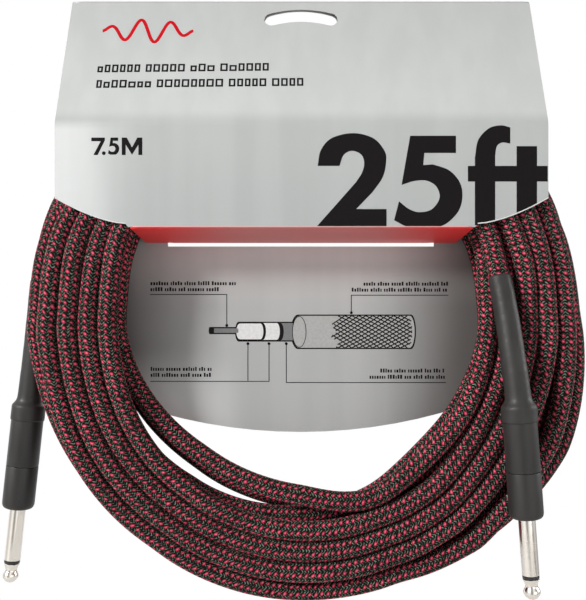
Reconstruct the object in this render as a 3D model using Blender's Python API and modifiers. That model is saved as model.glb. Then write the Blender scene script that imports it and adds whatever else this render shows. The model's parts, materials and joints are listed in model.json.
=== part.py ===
"""A coiled instrument cable with two straight jack plugs, held in a folded hang card.

Metres, +Z up. The card hangs from its hole: the origin is the top of the hole's edge, where a display
hook bears. The front faces -Y. Sizes in the constants below are in millimetres, and MM turns them into metres.
"""

import math

import bmesh
import bpy
from mathutils import Matrix, Vector

MM = 0.001
GAP = 0.3  # between pieces that touch on the real object
FINE_GAP = 0.15  # the same, inside the plugs

# Hang card
CARD_THICK = 0.5
CARD_HALF_WIDTH = 95.0
CARD_DEPTH = 26.0  # from the back panel to the front panel's lower half
FOLD_Z = 3.6  # the top fold, where the front panel hinges
CREASE_Z = -51.7
CREASE_RADIUS = 7.0
FRONT_BOTTOM_Z = -92.1
CORNER_TOP_Z = -81.0
CORNER_FOOT = (67.8, -90.9)
FLAP_HALF_WIDTH = 66.0
FLAP_REAR_HALF_WIDTH = 64.5
TAB_HALF_WIDTH = 54.4
TAB_INTO_SLOT = 0.2
FLAP_DROP = 3.9  # how far the flap falls from the front panel to the slot
SLOT_HALF_WIDTH = 55.4
SLOT_TOP_Z = -95.3
SLOT_BOTTOM_Z = -97.9
BACK_BOTTOM_Z = -175.2
BACK_BOTTOM_RADIUS = 219.0
HOLE_HALF_WIDTH = 15.1
HOLE_SLOT_HEIGHT = 6.0
HOLE_ARC_RISE = 2.6
OUTLINE_SPARE = 5.0  # how far cutters reach past the card

# Cable and coil
CABLE_DIAMETER = 8.0
COIL_CENTRE = (2.7, -132.0)
COIL_OUTER_HALF_WIDTH = 110.3
COIL_OUTER_BELOW = 107.3
COIL_OUTER_ABOVE = 95.0
COIL_OUTER_SQUARENESS = 2.5  # exponent of the upper half, where 2 is an ellipse
COIL_INNER_CENTRE = (-0.3, -126.0)
COIL_INNER_HALF_WIDTH = 68.6
COIL_INNER_BELOW = 69.4
COIL_INNER_ABOVE = 44.0
COIL_INNER_SQUARENESS = 4.0
COIL_SPLIT_Z = -90.0  # the coil's solid is in two parts here, level with the top of the room for the flap
COIL_FRONT_Y = -24.7
COIL_BACK_Y = -0.7
COIL_STEPS = 96
FAR_ACROSS = 130.0  # past every edge of the coil
FAR_FRONT = -40.0
FAR_BACK = 10.0
FAR_DOWN = -260.0
FAR_UP = 40.0
FLAP_ROOM_HALF_WIDTH = FLAP_HALF_WIDTH + 1.2
FLAP_ROOM_BOTTOM_Z = -121.0
FRONT_CARD_ROOM = CARD_THICK + 0.8

# Jack plug, along its own axis: 0 is the shell's front face, positive towards the cable
SHAFT_RADIUS = 3.175
JACK_LENGTH = 30.5
TIP_LENGTH = 7.9
SHELL_RADIUS = 6.4
SHELL_BORE = 5.85
SHELL_SPLIT = 17.5
SHELL_LENGTH = 42.9
SHELL_MOUTH = 4.35  # radius of the opening that the cable enters by
ROD_RADIUS = 1.1
ROD_HEAD = 15.2  # where the tip's rod is riveted over its lug
SLEEVE_BORE = 1.95
SLEEVE_END = 12.0
FLANGE = (5.55, 1.8, 4.3)  # radius, front and back of the sleeve's flange in the shell
BODY_RADIUS = 4.6  # the sleeve behind its flange
RING_WIDTH = 1.0  # the insulating ring between tip and sleeve
BOOT_START = 36.1
BOOT_SHOULDER = 42.5
BOOT_RADIUS = 6.75
BOOT_NECK = 4.9
BOOT_BORE = 4.25
BOOT_TOP_RADIUS = 4.45
JACKET_END = 33.5

# The plugs: the shell's front centre, the shoulder, and the cable's route from there to the coil
PLUG_A_FRONT = (-116.2, -5.2, -205.4)
PLUG_A_SHOULDER = (-111.8, -4.6, -163.1)
LEAD_A_ROUTE = (
    (-109.7, -4.4, -144.0),
    (-108.1, -4.3, -127.0),
    (-106.7, -4.3, -112.0),
    (-104.3, -4.4, -98.5),
    (-99.8, -4.6, -85.0),
    (-92.8, -4.8, -72.8),
)
PLUG_B_FRONT = (84.8, -32.4, -202.4)
PLUG_B_SHOULDER = (82.0, -31.6, -160.0)
LEAD_B_ROUTE = (
    (80.4, -29.9, -143.0),
    (78.7, -27.0, -126.5),
    (76.6, -23.6, -110.5),
    (74.0, -21.2, -97.5),
    (70.4, -20.6, -85.5),
    (62.5, -20.5, -74.0),
)
ROUTE_STEP = 5.0
CHANNEL_RADIUS = 5.4  # the room left in the coil's solid for each lead and boot

SILVER_CARD = ("card_silver", (0.62, 0.64, 0.62), 0.45, 0.2)
RED_INK = ("card_red", (0.55, 0.05, 0.05), 0.55, 0.0)
BRAID = ("braid", (0.22, 0.05, 0.07), 0.7, 0.0)
NICKEL = ("nickel", (0.72, 0.7, 0.66), 0.22, 1.0)
BLACK_SHELL = ("shell_black", (0.045, 0.044, 0.043), 0.5, 0.0)
SHRINK = ("heat_shrink", (0.04, 0.04, 0.038), 0.55, 0.0)
BLACK_RING = ("insulator_black", (0.02, 0.02, 0.02), 0.4, 0.0)
FIBRE = ("fibre", (0.3, 0.1, 0.05), 0.7, 0.0)
CLEAR_LINER = ("liner", (0.75, 0.75, 0.72), 0.4, 0.0)
BRASS_LUG = ("lug_brass", (0.6, 0.45, 0.18), 0.35, 1.0)
CORE = ("core_insulation", (0.85, 0.84, 0.8), 0.5, 0.0)
COPPER = ("copper", (0.65, 0.3, 0.15), 0.35, 1.0)


def clear_scene():
    for old in list(bpy.data.objects):
        bpy.data.objects.remove(old)


def new_collection(name, hidden=False):
    collection = bpy.data.collections.new(name)
    bpy.context.scene.collection.children.link(collection)
    collection.hide_render = hidden
    return collection


clear_scene()
PARTS = new_collection("instrument_cable")
CUTTERS = new_collection("cutters", hidden=True)


def finish(obj, look):
    """Gives an object the material of its own that `look` describes."""
    name, colour, roughness, metallic = look
    material = bpy.data.materials.new(f"{obj.name}_{name}")
    material.use_nodes = True
    shader = material.node_tree.nodes["Principled BSDF"]
    shader.inputs["Base Color"].default_value = (*colour, 1.0)
    shader.inputs["Roughness"].default_value = roughness
    shader.inputs["Metallic"].default_value = metallic
    obj.data.materials.clear()
    obj.data.materials.append(material)
    return obj


def as_cutter(obj):
    if obj.name not in CUTTERS.objects:
        PARTS.objects.unlink(obj)
        CUTTERS.objects.link(obj)
    obj.hide_render = True
    obj.display_type = "WIRE"
    return obj


def boolean(obj, other, operation):
    modifier = obj.modifiers.new(operation.lower(), "BOOLEAN")
    modifier.operation = operation
    modifier.object = as_cutter(other)
    return obj


def mesh_object(name, mesh):
    obj = bpy.data.objects.new(name, mesh)
    PARTS.objects.link(obj)
    return obj


def curve_to_mesh(obj, name):
    """The curve's evaluated shape as a mesh object whose caps are welded to its sides."""
    bpy.context.view_layer.update()
    graph = bpy.context.evaluated_depsgraph_get()
    mesh = bpy.data.meshes.new_from_object(obj.evaluated_get(graph))
    bm = bmesh.new()
    bm.from_mesh(mesh)
    bmesh.ops.remove_doubles(bm, verts=bm.verts, dist=0.001 * MM)
    bmesh.ops.recalc_face_normals(bm, faces=bm.faces)
    bm.to_mesh(mesh)
    bm.free()
    solid = mesh_object(name, mesh)
    solid.matrix_world = obj.matrix_world.copy()
    bpy.data.objects.remove(obj)
    return solid


def box(name, low, high):
    """A box between two corners in millimetres."""
    low, high = Vector(low) * MM, Vector(high) * MM
    bm = bmesh.new()
    bmesh.ops.create_cube(bm, size=1.0)
    size = high - low
    bmesh.ops.scale(bm, vec=size, verts=bm.verts)
    bmesh.ops.translate(bm, vec=(low + high) / 2, verts=bm.verts)
    mesh = bpy.data.meshes.new(name)
    bm.to_mesh(mesh)
    bm.free()
    return mesh_object(name, mesh)


def flat_solid(name, loops, low, high, upright=True):
    """Closed loops of (across, up) points filled and extruded from low to high, along Y if upright, else Z."""
    curve = bpy.data.curves.new(name, "CURVE")
    curve.dimensions = "2D"
    curve.fill_mode = "BOTH"
    curve.extrude = (high - low) / 2 * MM
    for loop in loops:
        spline = curve.splines.new("POLY")
        spline.points.add(len(loop) - 1)
        spline.use_cyclic_u = True
        for point, (across, up) in zip(spline.points, loop):
            point.co = (across * MM, up * MM, 0, 1)
    obj = mesh_object(name + "_outline", curve)
    middle = (low + high) / 2 * MM
    if upright:
        obj.rotation_euler = (math.pi / 2, 0, 0)
        obj.location = (0, middle, 0)
    else:
        obj.location = (0, 0, middle)
    return curve_to_mesh(obj, name)


def turned(name, profile, place, look=None, steps=16, closed=True):
    """A profile of (radius, station) points, outer side first and from the cable end down, turned about Z."""
    bm = bmesh.new()
    points = [bm.verts.new((radius * MM, 0, station * MM)) for radius, station in profile]
    for first, second in zip(points, points[1:]):
        bm.edges.new((first, second))
    if closed:
        bm.edges.new((points[-1], points[0]))
    mesh = bpy.data.meshes.new(name)
    bm.to_mesh(mesh)
    bm.free()
    obj = mesh_object(name, mesh)
    screw = obj.modifiers.new("turn", "SCREW")
    screw.steps = steps
    screw.render_steps = steps
    screw.use_merge_vertices = True
    screw.merge_threshold = 0.01 * MM
    obj.matrix_world = place
    return finish(obj, look) if look else obj


def smooth_route(points, step):
    """Points a step apart along the Catmull-Rom curve through these points."""
    points = [Vector(point) for point in points]
    ends = [2 * points[0] - points[1], *points, 2 * points[-1] - points[-2]]
    fine = []
    for before, first, second, after in zip(ends, ends[1:], ends[2:], ends[3:]):
        for part in range(40):
            t = part / 40
            straight = (second - before) * t
            bend = (2 * before - 5 * first + 4 * second - after) * t * t
            twist = (3 * first - before - 3 * second + after) * t * t * t
            fine.append((2 * first + straight + bend + twist) / 2)
    fine.append(points[-1])
    travelled = [0.0]
    for first, second in zip(fine, fine[1:]):
        travelled.append(travelled[-1] + (second - first).length)
    count = max(2, round(travelled[-1] / step))
    route, index = [], 0
    for number in range(count + 1):
        wanted = travelled[-1] * number / count
        while index < len(fine) - 2 and travelled[index + 1] < wanted:
            index += 1
        span = travelled[index + 1] - travelled[index]
        share = (wanted - travelled[index]) / span if span else 0.0
        route.append(fine[index].lerp(fine[index + 1], share))
    return route


def swept(name, route, radii, look=None, resolution=3):
    """A round solid along a route in millimetres, with one radius or one at each point."""
    if isinstance(radii, (int, float)):
        radii = [radii] * len(route)
    curve = bpy.data.curves.new(name, "CURVE")
    curve.dimensions = "3D"
    curve.bevel_depth = MM
    curve.bevel_resolution = resolution
    curve.use_fill_caps = True
    spline = curve.splines.new("POLY")
    spline.points.add(len(route) - 1)
    for point, place, radius in zip(spline.points, route, radii):
        point.co = (*(Vector(place) * MM), 1)
        point.radius = radius
    obj = curve_to_mesh(mesh_object(name + "_route", curve), name)
    return finish(obj, look) if look else obj


def hinge_empty(name, place):
    empty = bpy.data.objects.new(name, None)
    empty.location = Vector(place) * MM
    empty.empty_display_size = 10 * MM
    PARTS.objects.link(empty)
    bpy.context.view_layer.update()
    return empty


def hang_on(obj, empty):
    obj.parent = empty
    obj.matrix_parent_inverse = empty.matrix_world.inverted()


# ---------------------------------------------------------------- hang card


def arc(centre, radius, start, end, steps):
    """Points of a circular arc, angles in degrees from +X."""
    turn = [math.radians(start + (end - start) * n / steps) for n in range(steps + 1)]
    return [(centre[0] + radius * math.cos(a), centre[1] + radius * math.sin(a)) for a in turn]


def hang_hole():
    """An arched slot with rounded ends, its highest point at the origin."""
    radius = HOLE_HALF_WIDTH**2 / (2 * HOLE_ARC_RISE) + HOLE_ARC_RISE / 2
    half_slot = HOLE_SLOT_HEIGHT / 2
    middle = radius - half_slot
    half_angle = math.degrees(math.asin((HOLE_HALF_WIDTH - half_slot) / middle))
    centre = (0, -radius)
    top = arc(centre, radius, 90 - half_angle, 90 + half_angle, 12)
    bottom = arc(centre, radius - 2 * half_slot, 90 + half_angle, 90 - half_angle, 12)
    ends = []
    for side in (1, -1):
        angle = math.radians(90 + side * half_angle)
        place = (middle * math.cos(angle), -radius + middle * math.sin(angle))
        first = 90 + side * half_angle if side > 0 else 270 - half_angle
        ends.append(arc(place, half_slot, first, first + 180, 8)[1:-1])
    return top + ends[0] + bottom + ends[1]


def corner_cut(side):
    """The convex curve from the front panel's side edge to the foot beside the bottom fold, top first."""
    foot_x, foot_z = CORNER_FOOT
    points = []
    for number in range(9):
        share = number / 8
        across = CARD_HALF_WIDTH + (foot_x - CARD_HALF_WIDTH) * share
        up = CORNER_TOP_Z + (foot_z - CORNER_TOP_Z) * (1 - (1 - share) ** 1.6)
        points.append((side * across, up))
    return points


def back_panel():
    centre = (0, BACK_BOTTOM_Z + BACK_BOTTOM_RADIUS)
    swing = math.degrees(math.asin(CARD_HALF_WIDTH / BACK_BOTTOM_RADIUS))
    outline = arc(centre, BACK_BOTTOM_RADIUS, 270 - swing, 270 + swing, 20)
    outline += [(CARD_HALF_WIDTH, FOLD_Z), (-CARD_HALF_WIDTH, FOLD_Z)]
    slot = [
        (-SLOT_HALF_WIDTH, SLOT_BOTTOM_Z),
        (-SLOT_HALF_WIDTH, SLOT_TOP_Z),
        (SLOT_HALF_WIDTH, SLOT_TOP_Z),
        (SLOT_HALF_WIDTH, SLOT_BOTTOM_Z),
    ]
    finish(flat_solid("card_back", [outline, hang_hole(), slot], 0, CARD_THICK), SILVER_CARD)


def front_profile():
    """(y, z) points of the front panel's outer face, from the top fold over the crease to the bottom fold."""
    top = Vector((-GAP - CARD_THICK, FOLD_Z - GAP))
    crease = Vector((-CARD_DEPTH, CREASE_Z))
    slope = (crease - top).normalized()
    down = Vector((0, -1))
    half_turn = slope.angle(down) / 2
    setback = CREASE_RADIUS * math.tan(half_turn)
    start = crease - slope * setback
    end = crease + down * setback
    points = [top]
    for number in range(7):
        t = number / 6
        points.append(start * (1 - t) ** 2 + crease * 2 * t * (1 - t) + end * t * t)
    points.append(Vector((-CARD_DEPTH, FRONT_BOTTOM_Z)))
    return points


def front_panel(hinge):
    bm = bmesh.new()
    rows = []
    reach = CARD_HALF_WIDTH + OUTLINE_SPARE
    for y, z in front_profile():
        rows.append([bm.verts.new((side * reach * MM, y * MM, z * MM)) for side in (-1, 1)])
    for upper, lower in zip(rows, rows[1:]):
        bm.faces.new((upper[0], lower[0], lower[1], upper[1]))
    mesh = bpy.data.meshes.new("card_front")
    bm.to_mesh(mesh)
    bm.free()
    panel = mesh_object("card_front", mesh)
    solidify = panel.modifiers.new("card", "SOLIDIFY")
    solidify.thickness = CARD_THICK * MM
    solidify.offset = -1
    outline = [(CARD_HALF_WIDTH, FOLD_Z + 1), *corner_cut(1)]
    outline += [(FLAP_HALF_WIDTH, FRONT_BOTTOM_Z - 1), (-FLAP_HALF_WIDTH, FRONT_BOTTOM_Z - 1)]
    outline += [*reversed(corner_cut(-1)), (-CARD_HALF_WIDTH, FOLD_Z + 1)]
    front = -CARD_DEPTH - OUTLINE_SPARE
    cutter = flat_solid("card_front_outline", [outline, hang_hole()], front, OUTLINE_SPARE)
    boolean(panel, cutter, "INTERSECT")
    hang_on(panel, hinge)
    finish(panel, SILVER_CARD)


def tuck_flap(hinge):
    length = CARD_DEPTH - GAP
    tab = CARD_DEPTH + TAB_INTO_SLOT
    half = [(FLAP_HALF_WIDTH, GAP), (FLAP_REAR_HALF_WIDTH, length), (TAB_HALF_WIDTH, length)]
    half.append((TAB_HALF_WIDTH - 1.5, tab))
    outline = half + [(-across, back) for across, back in reversed(half)]
    flap = flat_solid("tuck_flap", [outline], -CARD_THICK, 0, upright=False)
    tilt = -math.atan2(FLAP_DROP, CARD_DEPTH)
    place = Matrix.Translation(Vector((0, -CARD_DEPTH, FRONT_BOTTOM_Z)) * MM)
    flap.matrix_world = place @ Matrix.Rotation(tilt, 4, "X") @ flap.matrix_world
    hang_on(flap, hinge)
    finish(flap, RED_INK)


# ---------------------------------------------------------------- coil


def oval(centre, half_width, below, above, squareness):
    """A closed oval: an ellipse below its centre, and a flatter superellipse above it."""
    points = []
    for number in range(COIL_STEPS):
        angle = 2 * math.pi * number / COIL_STEPS
        across, up = math.cos(angle), math.sin(angle)
        if up > 0:
            power = 2 / squareness
            across = math.copysign(abs(across) ** power, across)
            up = up**power * above
        else:
            up *= below
        points.append((centre[0] + half_width * across, centre[1] + up))
    return points


def coil_part(name, low, high, lead_cutters):
    """The coil's ring between two heights, cut back for the card, the flap and the leads."""
    halves = (COIL_OUTER_HALF_WIDTH, COIL_OUTER_BELOW, COIL_OUTER_ABOVE)
    outer = oval(COIL_CENTRE, *halves, COIL_OUTER_SQUARENESS)
    halves = (COIL_INNER_HALF_WIDTH, COIL_INNER_BELOW, COIL_INNER_ABOVE)
    inner = oval(COIL_INNER_CENTRE, *halves, COIL_INNER_SQUARENESS)
    ring = flat_solid(name, [outer, inner], COIL_FRONT_Y, COIL_BACK_Y)
    extent = box(f"{name}_extent", (-FAR_ACROSS, FAR_FRONT, low), (FAR_ACROSS, FAR_BACK, high))
    boolean(ring, extent, "INTERSECT")
    # Room for the tuck flap and its swing.
    flap_low = (-FLAP_ROOM_HALF_WIDTH, FAR_FRONT, FLAP_ROOM_BOTTOM_Z)
    flap_high = (FLAP_ROOM_HALF_WIDTH, FAR_BACK, COIL_SPLIT_Z)
    boolean(ring, box(f"{name}_flap_room", flap_low, flap_high), "DIFFERENCE")
    # Room under the sloping half of the front panel.
    slope = math.atan2(CARD_DEPTH, FOLD_Z - CREASE_Z)
    wedge = box(f"{name}_slope_room", (-FAR_ACROSS, FAR_FRONT, COIL_SPLIT_Z), (FAR_ACROSS, 0, FAR_UP))
    inward = Vector((0, math.cos(slope), -math.sin(slope))) * FRONT_CARD_ROOM * MM
    place = Matrix.Translation(Vector((0, 0, FOLD_Z)) * MM + inward)
    wedge.matrix_world = place @ Matrix.Rotation(-slope, 4, "X")
    boolean(ring, wedge, "DIFFERENCE")
    for cutter in lead_cutters:
        boolean(ring, cutter, "DIFFERENCE")
    finish(ring, BRAID)


def coil(lead_cutters):
    """The coil's turns as one oval ring in two solids: beside and below the flap, and the arch above it."""
    coil_part("cable_coil", FAR_DOWN, COIL_SPLIT_Z - GAP / 2, lead_cutters)
    coil_part("cable_coil_top", COIL_SPLIT_Z + GAP / 2, 0, lead_cutters)


# ---------------------------------------------------------------- plugs and leads


def plug_place(front, shoulder):
    """The plug's frame: its origin at the shell's front, its Z along the axis towards the cable."""
    axis = (Vector(shoulder) - Vector(front)).normalized()
    sideways = Vector((0, -1, 0)).cross(axis).normalized()
    facing = axis.cross(sideways)
    turn = Matrix((sideways, facing, axis)).transposed().to_4x4()
    return Matrix.Translation(Vector(front) * MM) @ turn


def on_axis(front, shoulder, station):
    axis = (Vector(shoulder) - Vector(front)).normalized()
    return Vector(front) + axis * station


def ring_profile(inner, outer, low, high):
    return [(inner, high), (outer, high), (outer, low), (inner, low)]


def jack_pieces(side, place):
    """The contacts and insulators of the 6.35 mm jack, from the tip inwards."""
    tip_back = TIP_LENGTH - JACK_LENGTH
    tip = [(0, ROD_HEAD), (1.6, ROD_HEAD), (1.9, ROD_HEAD - 0.3), (1.9, ROD_HEAD - 0.6)]
    tip += [(ROD_RADIUS, ROD_HEAD - 0.6), (ROD_RADIUS, tip_back)]
    tip += [(3.0, tip_back), (3.1, tip_back - 0.4), (2.3, tip_back - 2.3)]
    tip += [(2.3, tip_back - 2.9), (2.9, tip_back - 3.9), (3.15, tip_back - 4.8), (3.05, tip_back - 5.7)]
    tip += [(2.4, tip_back - 6.9), (1.5, tip_back - 7.7), (0.7, -JACK_LENGTH), (0, -JACK_LENGTH)]
    turned(f"tip_contact_{side}", tip, place, NICKEL, closed=False)
    ring_low = tip_back + FINE_GAP
    ring_high = ring_low + RING_WIDTH
    insulator = ring_profile(ROD_RADIUS + FINE_GAP, SHAFT_RADIUS, ring_low, ring_high)
    turned(f"tip_insulator_{side}", insulator, place, BLACK_RING)
    sleeve_low = ring_high + FINE_GAP
    flange_radius, flange_front, flange_back = FLANGE
    sleeve = [(SLEEVE_BORE, SLEEVE_END), (BODY_RADIUS, SLEEVE_END), (BODY_RADIUS, flange_back)]
    sleeve += [(flange_radius, flange_back), (flange_radius, flange_front)]
    sleeve += [(SHAFT_RADIUS, flange_front), (SHAFT_RADIUS, sleeve_low), (SLEEVE_BORE, sleeve_low)]
    turned(f"sleeve_contact_{side}", sleeve, place, NICKEL)
    core = ring_profile(ROD_RADIUS + FINE_GAP, SLEEVE_BORE - FINE_GAP, sleeve_low, SLEEVE_END + 0.8)
    turned(f"core_insulator_{side}", core, place, BLACK_RING)
    washer = ring_profile(ROD_RADIUS + FINE_GAP, 4.4, SLEEVE_END + 0.95, SLEEVE_END + 1.75)
    turned(f"rear_washer_{side}", washer, place, FIBRE)


def tip_lug(side, place):
    lug = turned(f"tip_lug_{side}", ring_profile(1.25, 3.3, 13.9, 14.45), place)
    tab = box(f"tip_lug_tab_{side}", (-1.2, 2.6, 14.1), (1.2, 3.1, 22.0))
    tab.matrix_world = place
    finish(boolean(lug, tab, "UNION"), BRASS_LUG)


def ground_lug(side, place):
    """A ring behind the sleeve, an arm along the cable, and a claw bent round the cable's jacket."""
    lug = turned(f"ground_lug_{side}", ring_profile(1.95, 5.1, 12.15, 12.75), place)
    arm = box(f"ground_lug_arm_{side}", (-1.4, -4.95, 12.3), (1.4, -4.45, 37.0))
    arm.matrix_world = place
    claw = turned(f"ground_lug_claw_{side}", ring_profile(4.2, 4.75, 35.0, 40.0), place)
    opening = box(f"ground_lug_opening_{side}", (-2.6, 0, 34), (2.6, 8, 41))
    opening.matrix_world = place
    boolean(lug, arm, "UNION")
    boolean(lug, claw, "UNION")
    boolean(lug, opening, "DIFFERENCE")
    finish(lug, BRASS_LUG)


def shells(side, place):
    front = [(SHELL_BORE, SHELL_SPLIT), (SHELL_RADIUS, SHELL_SPLIT), (SHELL_RADIUS, 1.6)]
    front += [(SHELL_RADIUS - 0.25, 0.7), (SHELL_RADIUS - 0.8, 0.2), (SHELL_RADIUS - 1.5, 0)]
    front += [(SHAFT_RADIUS + 0.25, 0), (SHAFT_RADIUS + 0.25, 1.5), (SHELL_BORE, 1.5)]
    turned(f"front_shell_{side}", front, place, BLACK_SHELL, steps=24)
    low = SHELL_SPLIT + FINE_GAP
    rear = [(SHELL_MOUTH, SHELL_LENGTH), (5.2, SHELL_LENGTH), (SHELL_RADIUS, SHELL_LENGTH - 1.2)]
    rear += [(SHELL_RADIUS, low), (SHELL_BORE, low), (SHELL_BORE, SHELL_LENGTH - 1.3)]
    rear += [(SHELL_MOUTH, SHELL_LENGTH - 1.3)]
    turned(f"rear_shell_{side}", rear, place, BLACK_SHELL, steps=24)
    turned(f"liner_{side}", ring_profile(5.3, 5.65, 15.5, 34.5), place, CLEAR_LINER)


def stripped_end(side, place):
    """The cable's inner conductor, its insulation and its twisted shield, bared inside the shell."""

    def inside(x, y, station):
        return place @ (Vector((x, y, station)) * MM) / MM

    insulation = [inside(0, 0, JACKET_END - 0.3), inside(0, 0.2, 30.0)]
    insulation += [inside(0, 0.9, 26.5), inside(0, 1.3, 23.5)]
    swept(f"core_insulation_{side}", smooth_route(insulation, 2.0), 1.0, CORE)
    conductor = [inside(0, 1.4, 23.2), inside(0, 1.8, 21.5), inside(0, 1.9, 20.0), inside(0, 1.9, 17.0)]
    swept(f"core_conductor_{side}", smooth_route(conductor, 1.5), 0.45, COPPER)
    shield = [inside(0.4, -2.6, JACKET_END - 0.3), inside(0.4, -3.1, 31.0), inside(0, -3.6, 28.0)]
    shield += [inside(0, -3.65, 22.0)]
    swept(f"shield_pigtail_{side}", smooth_route(shield, 2.0), 0.7, COPPER)


def boot(side, place, lead):
    """Heat-shrink sleeve: over the shell's rear end, in at the shoulder, then along the cable."""
    collar = [(0, BOOT_SHOULDER + 5), (BOOT_NECK, BOOT_SHOULDER + 5), (BOOT_NECK, BOOT_SHOULDER + 2.4)]
    collar += [(BOOT_RADIUS - 0.05, BOOT_SHOULDER + 0.1), (BOOT_RADIUS, BOOT_SHOULDER - 0.4)]
    collar += [(BOOT_RADIUS, BOOT_START), (0, BOOT_START)]
    sleeve = turned(f"boot_{side}", collar, place, steps=24, closed=False)
    low_end = place @ (Vector((0, 0, BOOT_SHOULDER + 2.6)) * MM) / MM
    lead = [low_end, *lead]
    count = len(lead) - 1
    taper = BOOT_TOP_RADIUS - BOOT_NECK
    radii = [BOOT_NECK - 0.05 + taper * number / count for number in range(count + 1)]
    boolean(sleeve, swept(f"boot_along_{side}", lead, radii, resolution=4), "UNION")
    hollow = [(0, BOOT_SHOULDER + 3), (BOOT_BORE, BOOT_SHOULDER + 3), (BOOT_BORE, SHELL_LENGTH + 0.5)]
    hollow += [(5.3, SHELL_LENGTH + 0.5), (6.5, SHELL_LENGTH - 0.9), (6.5, BOOT_START - 1), (0, BOOT_START - 1)]
    cutter = turned(f"boot_hollow_{side}", hollow, place, steps=24, closed=False)
    boolean(sleeve, cutter, "DIFFERENCE")
    beyond = lead[-1] + (lead[-1] - lead[-2])
    boolean(sleeve, swept(f"boot_bore_{side}", [*lead, beyond], BOOT_BORE, resolution=4), "DIFFERENCE")
    finish(sleeve, SHRINK)


def plug(side, front, shoulder, lead_route):
    """One plug with the end of the cable in it, and the cutter that makes room for its lead in the coil."""
    place = plug_place(front, shoulder)
    jack_pieces(side, place)
    tip_lug(side, place)
    ground_lug(side, place)
    shells(side, place)
    stripped_end(side, place)
    straight = [on_axis(front, shoulder, station) for station in (JACKET_END, 39.0, 45.5)]
    route = smooth_route([*straight, *lead_route], ROUTE_STEP)
    swept(f"cable_lead_{side}", route, CABLE_DIAMETER / 2, BRAID)
    boot_end = Vector(lead_route[2])
    nearest = min(range(len(route)), key=lambda n: (route[n] - boot_end).length)
    first = next(n for n, point in enumerate(route) if (point - Vector(front)).length > BOOT_SHOULDER + 5)
    boot(side, place, route[first : nearest + 1])
    beyond = route[-1] + (route[-1] - route[-2]).normalized() * GAP
    return swept(f"lead_room_{side}", [*route[first - 1 :], beyond], CHANNEL_RADIUS)


def main():
    front_hinge = hinge_empty("card_front_hinge", (0, 0, FOLD_Z))
    flap_hinge = hinge_empty("tuck_flap_hinge", (0, -CARD_DEPTH, FRONT_BOTTOM_Z))
    hang_on(flap_hinge, front_hinge)
    back_panel()
    front_panel(front_hinge)
    tuck_flap(flap_hinge)
    room_a = plug("a", PLUG_A_FRONT, PLUG_A_SHOULDER, LEAD_A_ROUTE)
    room_b = plug("b", PLUG_B_FRONT, PLUG_B_SHOULDER, LEAD_B_ROUTE)
    coil([room_a, room_b])
    for obj in PARTS.objects:
        if obj.type == "MESH" and not obj.name.startswith(("card_", "tuck_")):
            obj.data.shade_smooth()


main()
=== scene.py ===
"""The instrument cable on its hang card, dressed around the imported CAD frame.

The cord is one 7.5 m line from plug b, thirteen turns round the coil, to plug a. Its turns are laid out by
lane and layer, then settled until no two strands share the same space. Lengths in the constants are in
millimetres unless a name ends in _M; MM turns them into metres.
"""

import json
import math

import bmesh
import bpy
import numpy as np
from mathutils import Matrix, Vector

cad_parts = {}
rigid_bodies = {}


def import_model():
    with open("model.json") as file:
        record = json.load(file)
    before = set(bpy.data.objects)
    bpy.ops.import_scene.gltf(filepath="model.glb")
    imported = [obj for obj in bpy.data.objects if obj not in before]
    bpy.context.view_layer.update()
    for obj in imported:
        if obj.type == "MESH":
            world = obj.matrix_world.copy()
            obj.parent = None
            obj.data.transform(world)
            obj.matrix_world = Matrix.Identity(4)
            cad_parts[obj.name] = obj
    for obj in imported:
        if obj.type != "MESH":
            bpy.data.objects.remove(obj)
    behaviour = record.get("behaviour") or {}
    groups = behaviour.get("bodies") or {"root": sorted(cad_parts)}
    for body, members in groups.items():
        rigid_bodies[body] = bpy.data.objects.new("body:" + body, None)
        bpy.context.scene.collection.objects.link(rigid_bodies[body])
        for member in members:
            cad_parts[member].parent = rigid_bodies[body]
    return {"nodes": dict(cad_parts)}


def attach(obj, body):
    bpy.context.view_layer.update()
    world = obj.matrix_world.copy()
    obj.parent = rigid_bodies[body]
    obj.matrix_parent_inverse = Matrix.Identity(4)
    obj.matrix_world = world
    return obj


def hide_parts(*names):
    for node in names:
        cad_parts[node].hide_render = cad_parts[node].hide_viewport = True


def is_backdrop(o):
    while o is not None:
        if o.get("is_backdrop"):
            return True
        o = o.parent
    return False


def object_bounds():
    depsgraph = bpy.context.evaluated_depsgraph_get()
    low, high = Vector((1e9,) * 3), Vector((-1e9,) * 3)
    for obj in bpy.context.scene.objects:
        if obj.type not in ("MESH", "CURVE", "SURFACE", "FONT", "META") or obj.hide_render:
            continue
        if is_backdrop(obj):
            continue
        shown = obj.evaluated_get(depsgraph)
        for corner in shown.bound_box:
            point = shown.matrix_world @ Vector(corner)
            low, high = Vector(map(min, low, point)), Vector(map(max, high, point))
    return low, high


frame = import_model()
CAD_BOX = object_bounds()
NODES = frame["nodes"]

MM = 0.001

# ---------------------------------------------------------------- sizes shared with the CAD

CABLE_DIAMETER = 8.0
# Each plug: its shell's front, its shoulder, and the route of its lead from there.
PLUG_A = (
    (-116.2, -5.2, -205.4),
    (-111.8, -4.6, -163.1),
    (
        (-109.7, -4.4, -144.0),
        (-108.1, -4.3, -127.0),
        (-106.7, -4.3, -112.0),
        (-104.3, -4.4, -98.5),
        (-99.8, -4.6, -85.0),
        (-92.8, -4.8, -72.8),
    ),
)
PLUG_B = (
    (84.8, -32.4, -202.4),
    (82.0, -31.6, -160.0),
    (
        (80.4, -29.9, -143.0),
        (78.7, -27.0, -126.5),
        (76.6, -23.6, -110.5),
        (74.0, -21.2, -97.5),
        (70.4, -20.6, -85.5),
        (62.5, -20.5, -74.0),
    ),
)
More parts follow.
